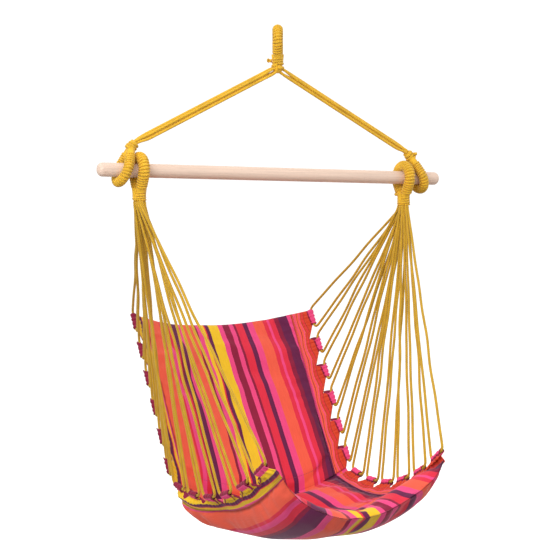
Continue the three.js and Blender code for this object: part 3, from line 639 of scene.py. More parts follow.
def thickened(piece, thickness):
    thick = piece.modifiers.new("cloth", "SOLIDIFY")
    thick.thickness, thick.offset = thickness, 0


def kept_mesh(name, shape):
    """The mesh of an edited shape, which is then freed."""
    mesh = bpy.data.meshes.new(name)
    shape.to_mesh(mesh)
    shape.free()
    return mesh


def grid_faces(rows, columns):
    """The faces of a grid of vertices, row by row."""
    index = np.arange(rows * columns).reshape(rows, columns)
    corners = index[:-1, :-1], index[1:, :-1], index[1:, 1:], index[:-1, 1:]
    return np.stack([corner.ravel() for corner in corners], 1)


def add_weave(mesh, across, metres):
    """The UV map "weave", from the place across the stripes and along them at each vertex."""
    loops = np.zeros(len(mesh.loops), np.int32)
    mesh.loops.foreach_get("vertex_index", loops)
    uv = np.stack([across[loops] / 2 + 0.5, metres[loops]], 1).astype(np.float32)
    mesh.uv_layers.new(name="weave").data.foreach_set("uv", uv.ravel())


# Lines and cords


def smooth(value, low, high):
    """0 below low, 1 above high and an eased step in between."""
    share = np.clip((value - low) / (high - low), 0, 1)
    return share * share * (3 - 2 * share)


def swell(value, start, full, fading, end):
    """0 up to start, 1 from full to fading and 0 again from end, with eased steps."""
    return smooth(value, start, full) * (1 - smooth(value, fading, end))


def unit(vector):
    vector = np.asarray(vector, float)
    return vector / np.maximum(np.linalg.norm(vector, axis=-1, keepdims=True), 1e-12)


def distances(points):
    """Distance of each point along its line."""
    return np.concatenate([[0], np.cumsum(np.linalg.norm(np.diff(points, axis=0), axis=1))])


def resampled(points, step):
    """The line again with points about a step apart."""
    along = distances(points)
    at = np.linspace(0, along[-1], max(3, round(along[-1] / step) + 1))
    return np.stack([np.interp(at, along, points[:, k]) for k in range(3)], axis=1)


def smoothed(points, passes):
    """The line with its corners eased and its ends kept."""
    points = points.copy()
    for _ in range(passes):
        points[1:-1] = (points[:-2] + 2 * points[1:-1] + points[2:]) / 4
    return points


def transported(points):
    """Two directions across the line at each point, carried along it without twist."""
    tangents = unit(np.gradient(points, axis=0))
    start = AXIS_Y if abs(tangents[0] @ AXIS_Y) < 0.9 else AXIS_X
    normal = unit(start - (start @ tangents[0]) * tangents[0])
    normals = [normal]
    for tangent in tangents[1:]:
        normal = unit(normal - (normal @ tangent) * tangent)
        normals.append(normal)
    normals = np.array(normals)
    return normals, np.cross(tangents, normals)


def cord_mesh(name, points, radius, lay, sides=12, plies=3, depth=0.12):
    """A cord of twisted plies along a line. radius is one number, or two numbers at each point, across and
    upright. The UV map "lay" has the way round in U, fixed to the plies, and metres along in V."""
    count = len(points)
    radii = np.asarray(radius, float)
    radii = np.broadcast_to(radii if radii.ndim == 2 else radii.reshape(-1, 1), (count, 2))
    first, second = transported(points)
    along = distances(points)
    twist = 2 * math.pi * along / lay if lay else np.zeros(count)
    turn = 2 * math.pi * np.arange(sides) / sides
    fullness = 1 - depth * (0.5 - 0.5 * np.cos(plies * turn)) if plies else np.ones(sides)
    angle = turn[None, :] + twist[:, None]
    across = (np.cos(angle) * fullness * radii[:, :1])[..., None] * first[:, None, :]
    upright = (np.sin(angle) * fullness * radii[:, 1:])[..., None] * second[:, None, :]
    verts = (points[:, None, :] + across + upright).reshape(-1, 3)
    ring = np.arange(count * sides).reshape(count, sides)
    near, far = ring[:-1], ring[1:]
    faces = np.stack([near, np.roll(near, -1, 1), np.roll(far, -1, 1), far], -1).reshape(-1, 4).tolist()
    faces += [ring[0][::-1].tolist(), ring[-1].tolist()]
    mesh = bpy.data.meshes.new(name)
    mesh.from_pydata(verts.tolist(), [], faces)
    uv = np.zeros((len(mesh.loops), 2), np.float32)
    i, k = np.repeat(np.arange(count - 1), sides), np.tile(np.arange(sides), count - 1)
    body = 4 * len(i)
    uv[:body, 0] = (np.stack([k, k + 1, k + 1, k], 1) / sides).ravel()
    uv[:body, 1] = np.stack([along[i], along[i], along[i + 1], along[i + 1]], 1).ravel()
    mesh.uv_layers.new(name="lay").data.foreach_set("uv", uv.ravel())
    return mesh


def joined_mesh(name, meshes):
    """One mesh from several, with their UV maps."""
    whole = bmesh.new()
    for mesh in meshes:
        whole.from_mesh(mesh)
        bpy.data.meshes.remove(mesh)
    return kept_mesh(name, whole)


def whipped_radius(core_radius):
    """Outer radius of a core whipped with cord, as in the frame."""
    return (core_radius + GAP) / math.cos(math.pi / FRAME_TURN_STEPS) + 2 * WHIP_HALF


class Teardrop:
    """A line in the XZ plane: an arch about the origin, and two straight legs down to one apex."""

    def __init__(self, radius, apex_drop):
        self.radius, self.apex_drop = radius, apex_drop
        self.lean = math.asin(radius / apex_drop)
        self.arch_half = radius * (math.pi / 2 + self.lean)
        self.leg = math.sqrt(apex_drop**2 - radius**2)

    def distance_at(self, half_apart):
        """Distance from the top at which the legs still lie that half distance apart."""
        return self.arch_half + self.leg - half_apart / math.sin(self.lean)

    def line(self, half, step=1.5 * MM):
        along = np.linspace(-half, half, round(2 * half / step))
        turned = np.clip(along, -self.arch_half, self.arch_half)
        angle = turned / self.radius
        zero = np.zeros_like(angle)
        point = np.stack([np.sin(angle), zero, np.cos(angle)], 1) * self.radius
        tangent = np.stack([np.cos(angle), zero, -np.sin(angle)], 1)
        return point + tangent * (along - turned)[:, None]


def wound_line(line, radii, turns, steps):
    """A helix round a line in the XZ plane. radii gives the half widths along the plane and across it at
    each share of the line."""
    share = np.linspace(0, 1, round(turns * steps) + 1)
    along = distances(line) / distances(line)[-1]
    tangents = unit(np.gradient(line, axis=0))
    at, tangent = (
        np.stack([np.interp(share, along, values[:, k]) for k in range(3)], 1) for values in (line, tangents)
    )
    out = unit(np.cross(AXIS_Y, unit(tangent)))
    wide, deep = (np.array([radii(s)[k] for s in share]) for k in (0, 1))
    angle = 2 * math.pi * turns * share
    return at + out * (np.cos(angle) * wide)[:, None] + AXIS_Y * (np.sin(angle) * deep)[:, None]


def eased_ends(points, depth, count=10):
    """Both ends of a winding dip towards its core, so that they tuck under the next turn."""
    centre = points.mean(0)
    for end in (slice(0, count), slice(-1, -count - 1, -1)):
        fade = np.linspace(1, 0, count)[:, None] ** 2
        points[end] += unit(centre - points[end]) * fade * depth
    return points


def knot_mesh(name, centre, size, radius, lay):
    """A small overhand knot pulled tight, as a trefoil of cord round a centre."""
    t = np.linspace(0, 2 * math.pi, 61)
    shape = np.stack([np.sin(t) + 2 * np.sin(2 * t), np.cos(t) - 2 * np.cos(2 * t), -1.3 * np.sin(3 * t)], 1)
    return cord_mesh(name, smoothed(np.asarray(centre) + shape * size / 6, 1), radius, lay, 10)


def whip(context, name, drop, core_radius, place, body, stands_for):
    """A teardrop of rope whipped all the way round, over a smooth core that closes the gaps."""
    sizes = context.scene.hammock_sizes
    outer = whipped_radius(core_radius) + WHIP_FULLNESS
    cord_radius = sizes.whip_pitch / 2 * TURN_OVERLAP_SHARE
    centre = outer - cord_radius
    half = drop.distance_at(outer * WHIPPED_SHARE)
    turns = round(2 * half / sizes.whip_pitch)
    helix = wound_line(drop.line(half), lambda share: (centre, centre), turns, 22)
    whipping = cord_mesh(name, eased_ends(helix, WHIP_TUCK), cord_radius, sizes.cord_lay, sides=10)
    core = cord_mesh(f"{name}_core", drop.line(drop.distance_at(core_radius / 3)), centre, 0, 14, 0)
    mesh = joined_mesh(name, [whipping, core])
    mesh.transform(place)
    finished(name, mesh, body, cord_finish(context), stands_for)


def lash(name, line, radii, pitch, lay):
    """The mesh of a straight lashing whose turns touch, over a filled neck. radii gives the outer size."""
    length = distances(line)[-1]
    turns = max(1, round(length / pitch))
    radius = length / turns / 2 * TURN_OVERLAP_SHARE

    def inner(share):
        return tuple(r - radius for r in radii(share))

    helix = wound_line(line, inner, turns, 24)
    wound = cord_mesh(name, eased_ends(helix, LASHING_TUCK), radius, lay, sides=10)
    filling = np.array([inner(share) for share in distances(line) / length])
    return joined_mesh(name, [wound, cord_mesh(f"{name}_fill", line, filling, 0, 20, 0)])


def tapered(start, end, powers=(1, 1)):
    """The two half widths of a lashing at a share of its length, from start to end."""
    return lambda share: tuple(a + (b - a) * share**power for a, b, power in zip(start, end, powers))


# Route of each rope, as in the frame


EYE_CENTRE_Z = whipped_radius(EYE_CORE_RADIUS) - EYE_ARCH_RADIUS
PIVOT = np.array([0, 0, EYE_CENTRE_Z - EYE_APEX_DROP - EYE_NECK_LENGTH])
EYE_PLACE = Matrix.Translation((0, 0, EYE_CENTRE_Z)) @ Matrix.Rotation(EYE_TURN_ANGLE, 4, "Z")
EYE_DROP = Teardrop(EYE_ARCH_RADIUS, EYE_APEX_DROP)
RING_RADIUS = (BAR_RADIUS + RUNNING_GAP) / math.cos(RING_LEAN) + whipped_radius(RING_CORE_RADIUS)
RING_DROP = Teardrop(RING_RADIUS, RING_APEX_RISE)
LOOP_DROP = Teardrop(BAR_RADIUS + RUNNING_GAP + whipped_radius(LOOP_CORE_RADIUS), LOOP_APEX_DROP)


def ring_places(side):
    up = np.array([-side * math.sin(RING_LEAN), 0, math.cos(RING_LEAN)])
    apex = np.array([side * RING_OFFSET, 0, BAR_Z]) + up * RING_APEX_RISE
    rope = unit(PIVOT - apex)
    neck = unit(up + rope)
    return up, apex, neck, apex + neck * RING_NECK_AHEAD


def ring_matrix(side):
    up = ring_places(side)[0]
    normal = np.cross(-up, AXIS_Y)
    turn = Matrix((AXIS_Y, normal, -up)).transposed().to_4x4()
    return Matrix.Translation((side * RING_OFFSET, 0, BAR_Z)) @ turn


def loop_matrix(side):
    return Matrix.Translation((side * LOOP_OFFSET, 0, BAR_Z)) @ Matrix.Rotation(math.pi / 2, 4, "Z")


def upper_strand_points(side, k):
    """Route of one strand from the end of the eye's neck to the end of the ring's neck."""
    _, _, neck, face = ring_places(side)
    run = face - PIVOT
    heading = unit(run)
    up = unit(-side * np.cross(AXIS_Y, heading))
    face_up = unit(side * np.cross(AXIS_Y, neck))
    pitch = CORD_DIAMETER + RUNNING_GAP
    ball = EYE_NECK_RADIUS + GAP
    high = 1 if k < STRANDS / 2 else -1
    deep = -1 if k % 2 else 1
    rank = (STRANDS - 1) / 2 - k
    leave_up = high * pitch * LEAVE_SHARE + rank * STRAND_FAN_STEP
    leave = unit(heading * ball + up * leave_up + AXIS_Y * deep * pitch * LEAVE_SHARE)
    points = [PIVOT + leave * ball, PIVOT + leave * (ball + CORD_DIAMETER)]
    for share in STRAND_SHARES:
        lift = up * rank * pitch * RIBBON_STEP_SHARE + AXIS_Y * deep * pitch * RIBBON_DEPTH_SHARE
        points.append(PIVOT + run * share + lift)
    for distance in (CORD_DIAMETER, 0):
        spread = face_up * high * pitch / 2 + AXIS_Y * deep * pitch / 2
        points.append(face + neck * (GAP + distance) + spread)
    return np.array(points)


def fan_slots():
    """Places where the cords of a fan leave their neck, from the back of the chair to its front."""
    pitch = CORD_DIAMETER + GAP
    row_pitch = pitch * math.sqrt(3) / 2
    rows = range(-PACKING_ROWS, PACKING_ROWS + 1)
    places = [
        (pitch * (column + (0.5 if row % 2 else 0) + PACKING_SHIFT), row_pitch * (row + PACKING_SHIFT))
        for row in rows
        for column in rows
    ]
    places.sort(key=lambda p: math.hypot(*p))
    return sorted(places[: 4 * TABS], key=lambda p: (-p[1], p[0]))


SLOTS = fan_slots()
BUNDLE_RADIUS = max(math.hypot(*slot) for slot in SLOTS) + CORD_DIAMETER / 2 + GAP


class Panel:
    """The back or the seat of the sling. A share of 0 to 1 runs down the back or forward along the seat, and
    across runs from -1 at the left line of tabs to 1 at the right one."""

    def __init__(self, name, length, first_tab, body):
        self.name, self.length, self.first_tab, self.body = name, length, first_tab, body
        self.is_back = name == "back"
        self.start = 0 if self.is_back else CREASE_GAP / length
        self.end = 1 - CREASE_GAP / length if self.is_back else 1
        self.pad_start = 0 if self.is_back else PAD_CREASE_GAP / length
        self.pad_end = 1 - PAD_CREASE_GAP / length if self.is_back else 1 + FRONT_REACH / length
        self.crown_edge = PAD_EDGE_SHARE[name]
        self.edge_across = self.crown_edge + SEAM_WIDTH / self.line(0.5)[0]

    def line(self, share):
        share = np.asarray(share, float)
        if self.is_back:
            up = self.length * (1 - share)
            x = TOP_HALF_WIDTH + (CREASE_HALF_WIDTH - TOP_HALF_WIDTH) * share
            return x, CREASE_Y + up * math.sin(RECLINE), CREASE_Z + up * math.cos(RECLINE)
        before = (SEAT_DIP_SHARE - share) / SEAT_DIP_SHARE
        after = (share - SEAT_DIP_SHARE) / (1 - SEAT_DIP_SHARE)
        rise = np.where(before > 0, SEAT_SIDE_DIP * before**2, SEAT_SIDE_RISE * after**2)
        x = CREASE_HALF_WIDTH + (FRONT_HALF_WIDTH - CREASE_HALF_WIDTH) * share
        return x, CREASE_Y - self.length * share, CREASE_Z - SEAT_SIDE_DIP + rise

    def sag(self, share):
        if self.is_back:
            return [TOP_SAG[k] + (CREASE_SAG[k] - TOP_SAG[k]) * share for k in (0, 1)]
        return [CREASE_SAG[0] * (1 - share), CREASE_SAG[1] + (FRONT_SAG_DOWN - CREASE_SAG[1]) * share**2]

    def point(self, share, across):
        share, across = np.broadcast_arrays(np.asarray(share, float), np.asarray(across, float))
        x, y, z = self.line(share)
        back, down = self.sag(share)
        power, aside = SLING_CURVE_POWER, 0
        if not self.is_back:
            rear = smooth(-across, *REAR_ACROSS_SHARES) * swell(share, *REAR_SHARES)
            power = power + BOXED_POWER * swell(share, *BOXED_SHARES) + REAR_POWER * rear
            aside = CORNER_OUT * swell(across, *CORNER_ACROSS_SHARES) * smooth(share, *CORNER_SHARES)
            aside = aside - REAR_OUT * rear * (1 - smooth(-across, *REAR_TAB_SHARES))
        sag = 1 - np.abs(across) ** power
        return np.stack([x * across + aside, y + back * sag, z - down * sag], -1)

    def directions(self, share, across):
        """Directions along the cloth, across it, and out of it towards the sitter."""
        share, across = np.asarray(share, float), np.asarray(across, float)
        along = unit(self.point(share + FINE, across) - self.point(share - FINE, across))
        wide = unit(self.point(share, across + FINE) - self.point(share, across - FINE))
        return along, wide, unit(np.cross(along, wide))

    def lifted(self, share, across, lift):
        out = self.directions(share, across)[2]
        return self.point(share, across) + out * np.asarray(lift)[..., None]

    def side_frame(self, share, side):
        """Place on a line of tabs, and the directions along it, outward from the cloth and out of it."""
        along, wide, out = self.directions(share, side)
        outward = wide * side
        outward = unit(outward - (outward * along).sum(-1, keepdims=True) * along)
        return self.point(share, side), along, outward, out

    def seam_lift(self, own_along, own_across, thickness):
        """How far the padding's seam lies off the middle of its thickness."""
        if self.is_back:
            return np.zeros_like(own_across)
        flat_middle = 1 - np.clip(own_across, -1, 1) ** 10
        return -FRONT_SEAM_SHARE * thickness / 2 * smooth(own_along, *FRONT_SHARES) * flat_middle

    def edge_step(self, share, side=1):
        """Width of the cloth for each unit across at a line of tabs."""
        step = self.point(share, side) - self.point(share, (1 - EDGE_FINE) * side)
        return np.linalg.norm(step, axis=-1) / EDGE_FINE

    def margin_width(self, share):
        """Width of the cloth between the padding and the line of tabs."""
        return (1 - self.edge_across) * self.edge_step(share)

    def tab_shares(self):
        return [(self.first_tab + i * TAB_PITCH) / self.length for i in range(TABS)]


BACK = Panel("back", BACK_LENGTH, 22 * MM, "backrest")
SEAT = Panel("seat", SEAT_DEPTH, 36 * MM, "seat")


def slot_place(side, slot):
    """Where a cord leaves the neck of its loop."""
    return np.array([side * (LOOP_OFFSET + slot[0]), slot[1], BAR_Z - LOOP_NECK_DROP - GAP])


def fan_cord_points(side, panel, share, slots):
    """Route of one cord: down from the neck of the loop, through a tab and back up to the neck."""
    place, along, _, _ = panel.side_frame(share, side)
    halves = []
    for slot, way in zip(slots, (-1, 1)):
        start = slot_place(side, slot)
        below = start - AXIS_Z * (CORD_DIAMETER + GAP)
        mouth = place + along * way * TAB_LENGTH / 2
        rough = unit(below - mouth)
        turn = math.pi - math.acos(float(np.clip(rough @ (-way * along), -1, 1)))
        reach = min(BEND_RADIUS * math.tan(turn / 2), BEND_RADIUS * LONGEST_BEND_SHARE)
        corner = mouth + along * way * reach
        leave = corner + unit(below - corner) * reach
        t = np.linspace(0, 1, 7)[:, None]
        bend = leave * (1 - t) ** 2 + corner * 2 * t * (1 - t) + mouth * t**2
        halves.append([start, below, *bend])
    return np.array(halves[0] + halves[1][::-1])


# Operators, one for each group of pieces


class HAMMOCK_OT_stage(bpy.types.Operator):
    """Adds the camera of the photograph, the lamps, the world and the floor"""

    bl_idname = "hammock.stage"
    bl_label = "Stage"

    def execute(self, context):
        scene = context.scene
        scene.view_settings.view_transform = "Standard"
        camera = bpy.data.objects.new("camera", bpy.data.cameras.new("camera"))
        scene.collection.objects.link(camera)
        camera.location = CAMERA_PLACE
        camera.rotation_euler = (math.pi / 2, 0, VIEW_AZIMUTH)
        camera.data.lens = CAMERA_LENS
        camera.data.sensor_width = 36
        camera.data.shift_x, camera.data.shift_y = CAMERA_SHIFT
        scene.camera = camera
        for lamp in LAMPS:
            self.add_lamp(scene, *lamp)
        self.add_world(scene)
        self.add_floor(context)
        return {"FINISHED"}

    def add_lamp(self, scene, name, place, size, power):
        data = bpy.data.lights.new(name, "AREA")
        data.size, data.energy = size, power
        lamp = bpy.data.objects.new(name, data)
        lamp.location = place
        lamp.rotation_euler = (LAMP_AIM - lamp.location).to_track_quat("-Z", "Y").to_euler()
        scene.collection.objects.link(lamp)

    def add_world(self, scene):
        """Even studio light, and plain white where the camera, gloss or glass sees past the floor."""
        world = bpy.data.worlds.new("studio")
        world.use_nodes = True
        tree = world.node_tree
        tree.nodes.clear()
        place = add_node(tree, "ShaderNodeTexCoord").outputs["Generated"]
        height = add_node(tree, "ShaderNodeSeparateXYZ", {"Vector": place}).outputs["Z"]
        from_above = ranged(tree, height, -0.7, 0.5, 0.26, 0.84)
        light = add_node(tree, "ShaderNodeBackground", {"Color": tone(WHITE), "Strength": from_above})
        white = add_node(tree, "ShaderNodeBackground", {"Color": tone(WHITE), "Strength": 1.1})
        both = {0: self.seen_directly(tree), 1: light.outputs[0], 2: white.outputs[0]}
        mix = add_node(tree, "ShaderNodeMixShader", both)
        add_node(tree, "ShaderNodeOutputWorld", {"Surface": mix.outputs[0]})
        scene.world = world

    def seen_directly(self, tree):
        rays = add_node(tree, "ShaderNodeLightPath").outputs
        glossy = worked_out(tree, "MAXIMUM", rays["Is Camera Ray"], rays["Is Glossy Ray"])
        return worked_out(tree, "MAXIMUM", glossy, rays["Is Transmission Ray"])

    def add_floor(self, context):
        material = bpy.data.materials.new("pale_floor")
        material.use_nodes = True
        tree = material.node_tree
        tree.nodes.clear()
        colour = tone(context.scene.hammock_colours.stage)
        matt = add_node(tree, "ShaderNodeBsdfDiffuse", {"Color": colour})
        glow = add_node(tree, "ShaderNodeEmission", {"Color": tone(WHITE), "Strength": 0.45})
        both = add_node(tree, "ShaderNodeAddShader", {0: matt.outputs[0], 1: glow.outputs[0]})
        dull = add_node(tree, "ShaderNodeBsdfDiffuse", {"Color": tone(WHITE, 0.3)})
        parts = {0: self.seen_directly(tree), 1: dull.outputs[0], 2: both.outputs[0]}
        mix = add_node(tree, "ShaderNodeMixShader", parts)
        add_node(tree, "ShaderNodeOutputMaterial", {"Surface": mix.outputs[0]})
        plane = bmesh.new()
        bmesh.ops.create_grid(plane, x_segments=1, y_segments=1, size=FLOOR_HALF_SIZE)
        bmesh.ops.translate(plane, verts=plane.verts, vec=(0, 0, CAD_BOUNDS[0].z - FLOOR_BELOW))
        mesh = kept_mesh("floor", plane)
        mesh.materials.append(material)
        floor = bpy.data.objects.new("floor", mesh)
        context.scene.collection.objects.link(floor)


class HAMMOCK_OT_spreader_bar(bpy.types.Operator):
    """Turns the beech bar with its rounded ends"""

    bl_idname = "hammock.spreader_bar"
    bl_label = "Spreader Bar"

    def execute(self, context):
        half, flat = BAR_HIGH.x, BAR_RADIUS - BAR_END_RADIUS
        profile = [(0, half)]
        for angle in np.linspace(0, math.pi / 2, BAR_END_STEPS + 1):
            inset = BAR_END_RADIUS * (1 - math.cos(angle))
            profile.append((flat + BAR_END_RADIUS * math.sin(angle), half - inset))
        profile += [(radius, -x) for radius, x in reversed(profile)]
        turned = bmesh.new()
        verts = [turned.verts.new((x, 0, radius)) for radius, x in profile]
        edges = [turned.edges.new(pair) for pair in zip(verts, verts[1:])]
        bmesh.ops.spin(
            turned, geom=verts + edges, cent=(0, 0, 0), axis=(1, 0, 0), angle=2 * math.pi, steps=BAR_STEPS,
            use_merge=True,
        )
        bmesh.ops.remove_doubles(turned, verts=turned.verts, dist=MERGE_DISTANCE)
        bmesh.ops.recalc_face_normals(turned, faces=turned.faces)
        bmesh.ops.translate(turned, verts=turned.verts, vec=(0, 0, BAR_Z))
        material = beech_material(context.scene.hammock_colours.wood)
        finished("turned_bar", kept_mesh("turned_bar", turned), "bar", material, ["spreader_bar"])
        return {"FINISHED"}


class HAMMOCK_OT_eye(bpy.types.Operator):
    """Whips the hanging eye, its neck and its throat, and ties the tail knot"""

    bl_idname = "hammock.eye"
    bl_label = "Hanging Eye"

    def execute(self, context):
        whip(context, "eye_loop", EYE_DROP, EYE_CORE_RADIUS, EYE_PLACE, "eye", ["eye_core", "eye_whipping"])
        self.add_neck(context)
        self.add_neck_end(context)
        self.add_tail_knot(context)
        return {"FINISHED"}

    def add_neck(self, context):
        """The binding of the neck, and below it the turns that hold the strands together."""
        sizes, outer = context.scene.hammock_sizes, whipped_radius(EYE_NECK_RADIUS)
        neck_end = -EYE_APEX_DROP - EYE_NECK_LENGTH
        low = outer + EYE_NECK_END_WIDER
        neck = np.linspace((0, 0, -EYE_APEX_DROP + EYE_NECK_RISE), (0, 0, neck_end + THROAT_RISE), 24)
        taper = tapered((outer + EYE_NECK_WIDER, outer - EYE_NECK_THINNER), (low, low), (1, 2))
        throat_top = neck_end + THROAT_RISE - sizes.whip_pitch * THROAT_OVERLAP_SHARE
        throat = np.linspace((0, 0, throat_top), (0, 0, neck_end - THROAT_DROP), 12)
        flare = tapered((low, low), (low + THROAT_FLARE, low + THROAT_FLARE))
        for name, line, radii, body, node in (
            ("eye_neck", neck, taper, "eye", "eye_neck_whipping"),
            ("throat_turns", throat, flare, "throat", "throat_seizing"),
        ):
            mesh = lash(name, line, radii, sizes.whip_pitch, sizes.cord_lay)
            mesh.transform(EYE_PLACE)
            finished(name, mesh, body, cord_finish(context), [node])

    def add_neck_end(self, context):
        """The rounded end that the strands come out of."""
        ball = bmesh.new()
        radius = EYE_NECK_RADIUS + EYE_NECK_END_FULLNESS
        bmesh.ops.create_uvsphere(ball, u_segments=24, v_segments=14, radius=radius)
        bmesh.ops.translate(ball, verts=ball.verts, vec=PIVOT)
        mesh = kept_mesh("eye_neck_end", ball)
        mesh.uv_layers.new(name="lay")
        finished("eye_neck_end", mesh, "eye", cord_finish(context))

    def add_tail_knot(self, context):
        lay = context.scene.hammock_sizes.cord_lay
        low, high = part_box("eye_tail_knot")
        middle = np.array((low + high) / 2)
        knot = knot_mesh("tail_knot", middle, TAIL_KNOT_SIZE, TAIL_KNOT_CORD_RADIUS, lay)
        tail = smoothed(resampled(middle + np.array(TAIL_POINTS), 1 * MM), 4)
        mesh = joined_mesh("eye_knot", [knot, cord_mesh("tail_end", tail, TAIL_RADIUS, lay, 10)])
        finished("eye_knot", mesh, "eye", cord_finish(context), ["eye_tail_knot"])


class HAMMOCK_OT_upper_ropes(bpy.types.Operator):
    """Lays the strands from the eye to the ring at each end of the bar, and whips the rings"""

    bl_idname = "hammock.upper_ropes"
    bl_label = "Upper Ropes"

    def execute(self, context):
        lay = context.scene.hammock_sizes.cord_lay
        for side, hand in HANDS:
            for k in range(STRANDS):
                line = smoothed(resampled(upper_strand_points(side, k), ROPE_STEP), 12)
                name = f"rope_strand_{hand}_{k + 1}"
                mesh = cord_mesh(name, line, CORD_DIAMETER / 2 * CORD_FULLNESS, 2 * lay, depth=0.02)
                nodes = [f"upper_strand_{hand}_{k + 1}"]
                finished(name, mesh, "upper_ropes", cord_finish(context), nodes)
            self.add_ring(context, side, hand)
        return {"FINISHED"}

    def add_ring(self, context, side, hand):
        lay, place = context.scene.hammock_sizes.cord_lay, ring_matrix(side)
        nodes = [f"ring_core_{hand}", f"ring_whipping_{hand}"]
        whip(context, f"ring_{hand}", RING_DROP, RING_CORE_RADIUS, place, "upper_ropes", nodes)
        _, apex, neck, face = ring_places(side)
        line = np.linspace(face - neck * RING_LASHING_START, apex - neck * RING_LASHING_PAST_APEX, 20)
        thin = whipped_radius(RING_NECK_RADIUS) - RING_LASHING_THINNER
        radii = tapered((thin, thin), [thin + wider for wider in RING_LASHING_WIDENING])
        name = f"ring_neck_{hand}"
        mesh = lash(name, line, radii, RING_LASHING_PITCH, lay)
        if side > 0:
            knob = apex - neck * RING_KNOB_PAST_APEX + RING_KNOB_PLACE
            mesh = joined_mesh(name, [mesh, knot_mesh("knob", knob, RING_KNOB_SIZE, KNOB_CORD_RADIUS, lay)])
        finished(name, mesh, "upper_ropes", cord_finish(context), [f"ring_lashing_{hand}"])


class HAMMOCK_OT_loops(bpy.types.Operator):
    """Whips the loops over the bar and binds the necks that the fans come out of"""

    bl_idname = "hammock.loops"
    bl_label = "Loops"

    def execute(self, context):
        sizes = context.scene.hammock_sizes
        for side, hand in HANDS:
            nodes = [f"loop_core_{hand}", f"loop_whipping_{hand}"]
            place = loop_matrix(side)
            whip(context, f"loop_{hand}", LOOP_DROP, LOOP_CORE_RADIUS, place, "seat", nodes)
            top = -LOOP_APEX_DROP + LOOP_BINDING_RISE
            line = np.linspace((0, 0, top), (0, 0, -LOOP_NECK_DROP + LOOP_BINDING_END), 30)
            low = BUNDLE_RADIUS + LOOP_BINDING_FULLNESS
            name = f"loop_neck_{hand}"
            radii = tapered(LOOP_BINDING_RADII, (low, low))
            binding = lash(name, line, radii, sizes.whip_pitch, sizes.cord_lay)
            knob_place = np.array([0, 0, top]) + LOOP_KNOB_PLACE * np.array([1, side, 1])
            knob = knot_mesh("knob", knob_place, LOOP_KNOB_SIZE, KNOB_CORD_RADIUS, sizes.cord_lay)
            mesh = joined_mesh(name, [binding, knob])
            mesh.transform(place)
            finished(name, mesh, "seat", cord_finish(context), [f"loop_lashing_{hand}"])
            self.add_stubs(context, side, hand)
        return {"FINISHED"}

    def add_stubs(self, context, side, hand):
        """The ends of the fan's cords inside the binding."""
        lay, stubs = context.scene.hammock_sizes.cord_lay, []
        for index, slot in enumerate(SLOTS):
            low = slot_place(side, slot)
            line = resampled(np.array([low, low + AXIS_Z * STUB_LENGTH]), ROPE_STEP)
            stubs.append(cord_mesh(f"stub_{index}", line, CORD_DIAMETER / 2, lay, 10))
        name = f"fan_root_{hand}"
        finished(name, joined_mesh(name, stubs), "seat", cord_finish(context))


class HAMMOCK_OT_fans(bpy.types.Operator):
    """Runs the twelve cords of each fan from the loop through their tabs and back"""

    bl_idname = "hammock.fans"
    bl_label = "Fans of Cords"

    def execute(self, context):
        sizes = context.scene.hammock_sizes
        # The fans' cords get a copy of the cord material with more painted shade: darker grooves between the
        # plies and a darker colour all over
        material = cord_finish(context, "hard_laid_cotton_cord", 0.6)
        tabs = [(panel, share) for panel in (BACK, SEAT) for share in panel.tab_shares()]
        chance = random.Random(SEED)
        for side, hand in HANDS:
            for index, (panel, share) in enumerate(tabs):
                slots = SLOTS[2 * index], SLOTS[2 * index + 1]
                line = resampled(fan_cord_points(side, panel, share, slots), FAN_STEP)
                line = self.waved(smoothed(line, 10), sizes.cord_wave, chance)
                name, number = f"sling_cord_{hand}_{index + 1:02d}", f"{index + 1:02d}"
                mesh = cord_mesh(name, line, CORD_DIAMETER / 2 * CORD_FULLNESS, sizes.cord_lay)
                body = "seat" if panel is SEAT else None
                cord = finished(name, mesh, body, material, [f"fan_cord_{hand}_{number}"])
                if panel is BACK:
                    tab = panel.side_frame(share, side)[0]
                    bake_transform(cord)
        return {"FINISHED"}

    def waved(self, line, height, chance):
        """The slack ripples that a twisted cord keeps under light load, none at the neck and the tab."""
        along = distances(line)
        total = along[-1]
        first, second = transported(line)
        fade = np.sin(2 * math.pi * along / total) ** 2
        for across in (first, second):
            for wavelength in RIPPLE_LENGTHS:
                phase = chance.uniform(0, 2 * math.pi)
                reach = height * chance.uniform(*RIPPLE_SHARES)
                ripple = np.sin(2 * math.pi * along / wavelength + phase) * fade * reach
                line = line + across * ripple[:, None]
        return line


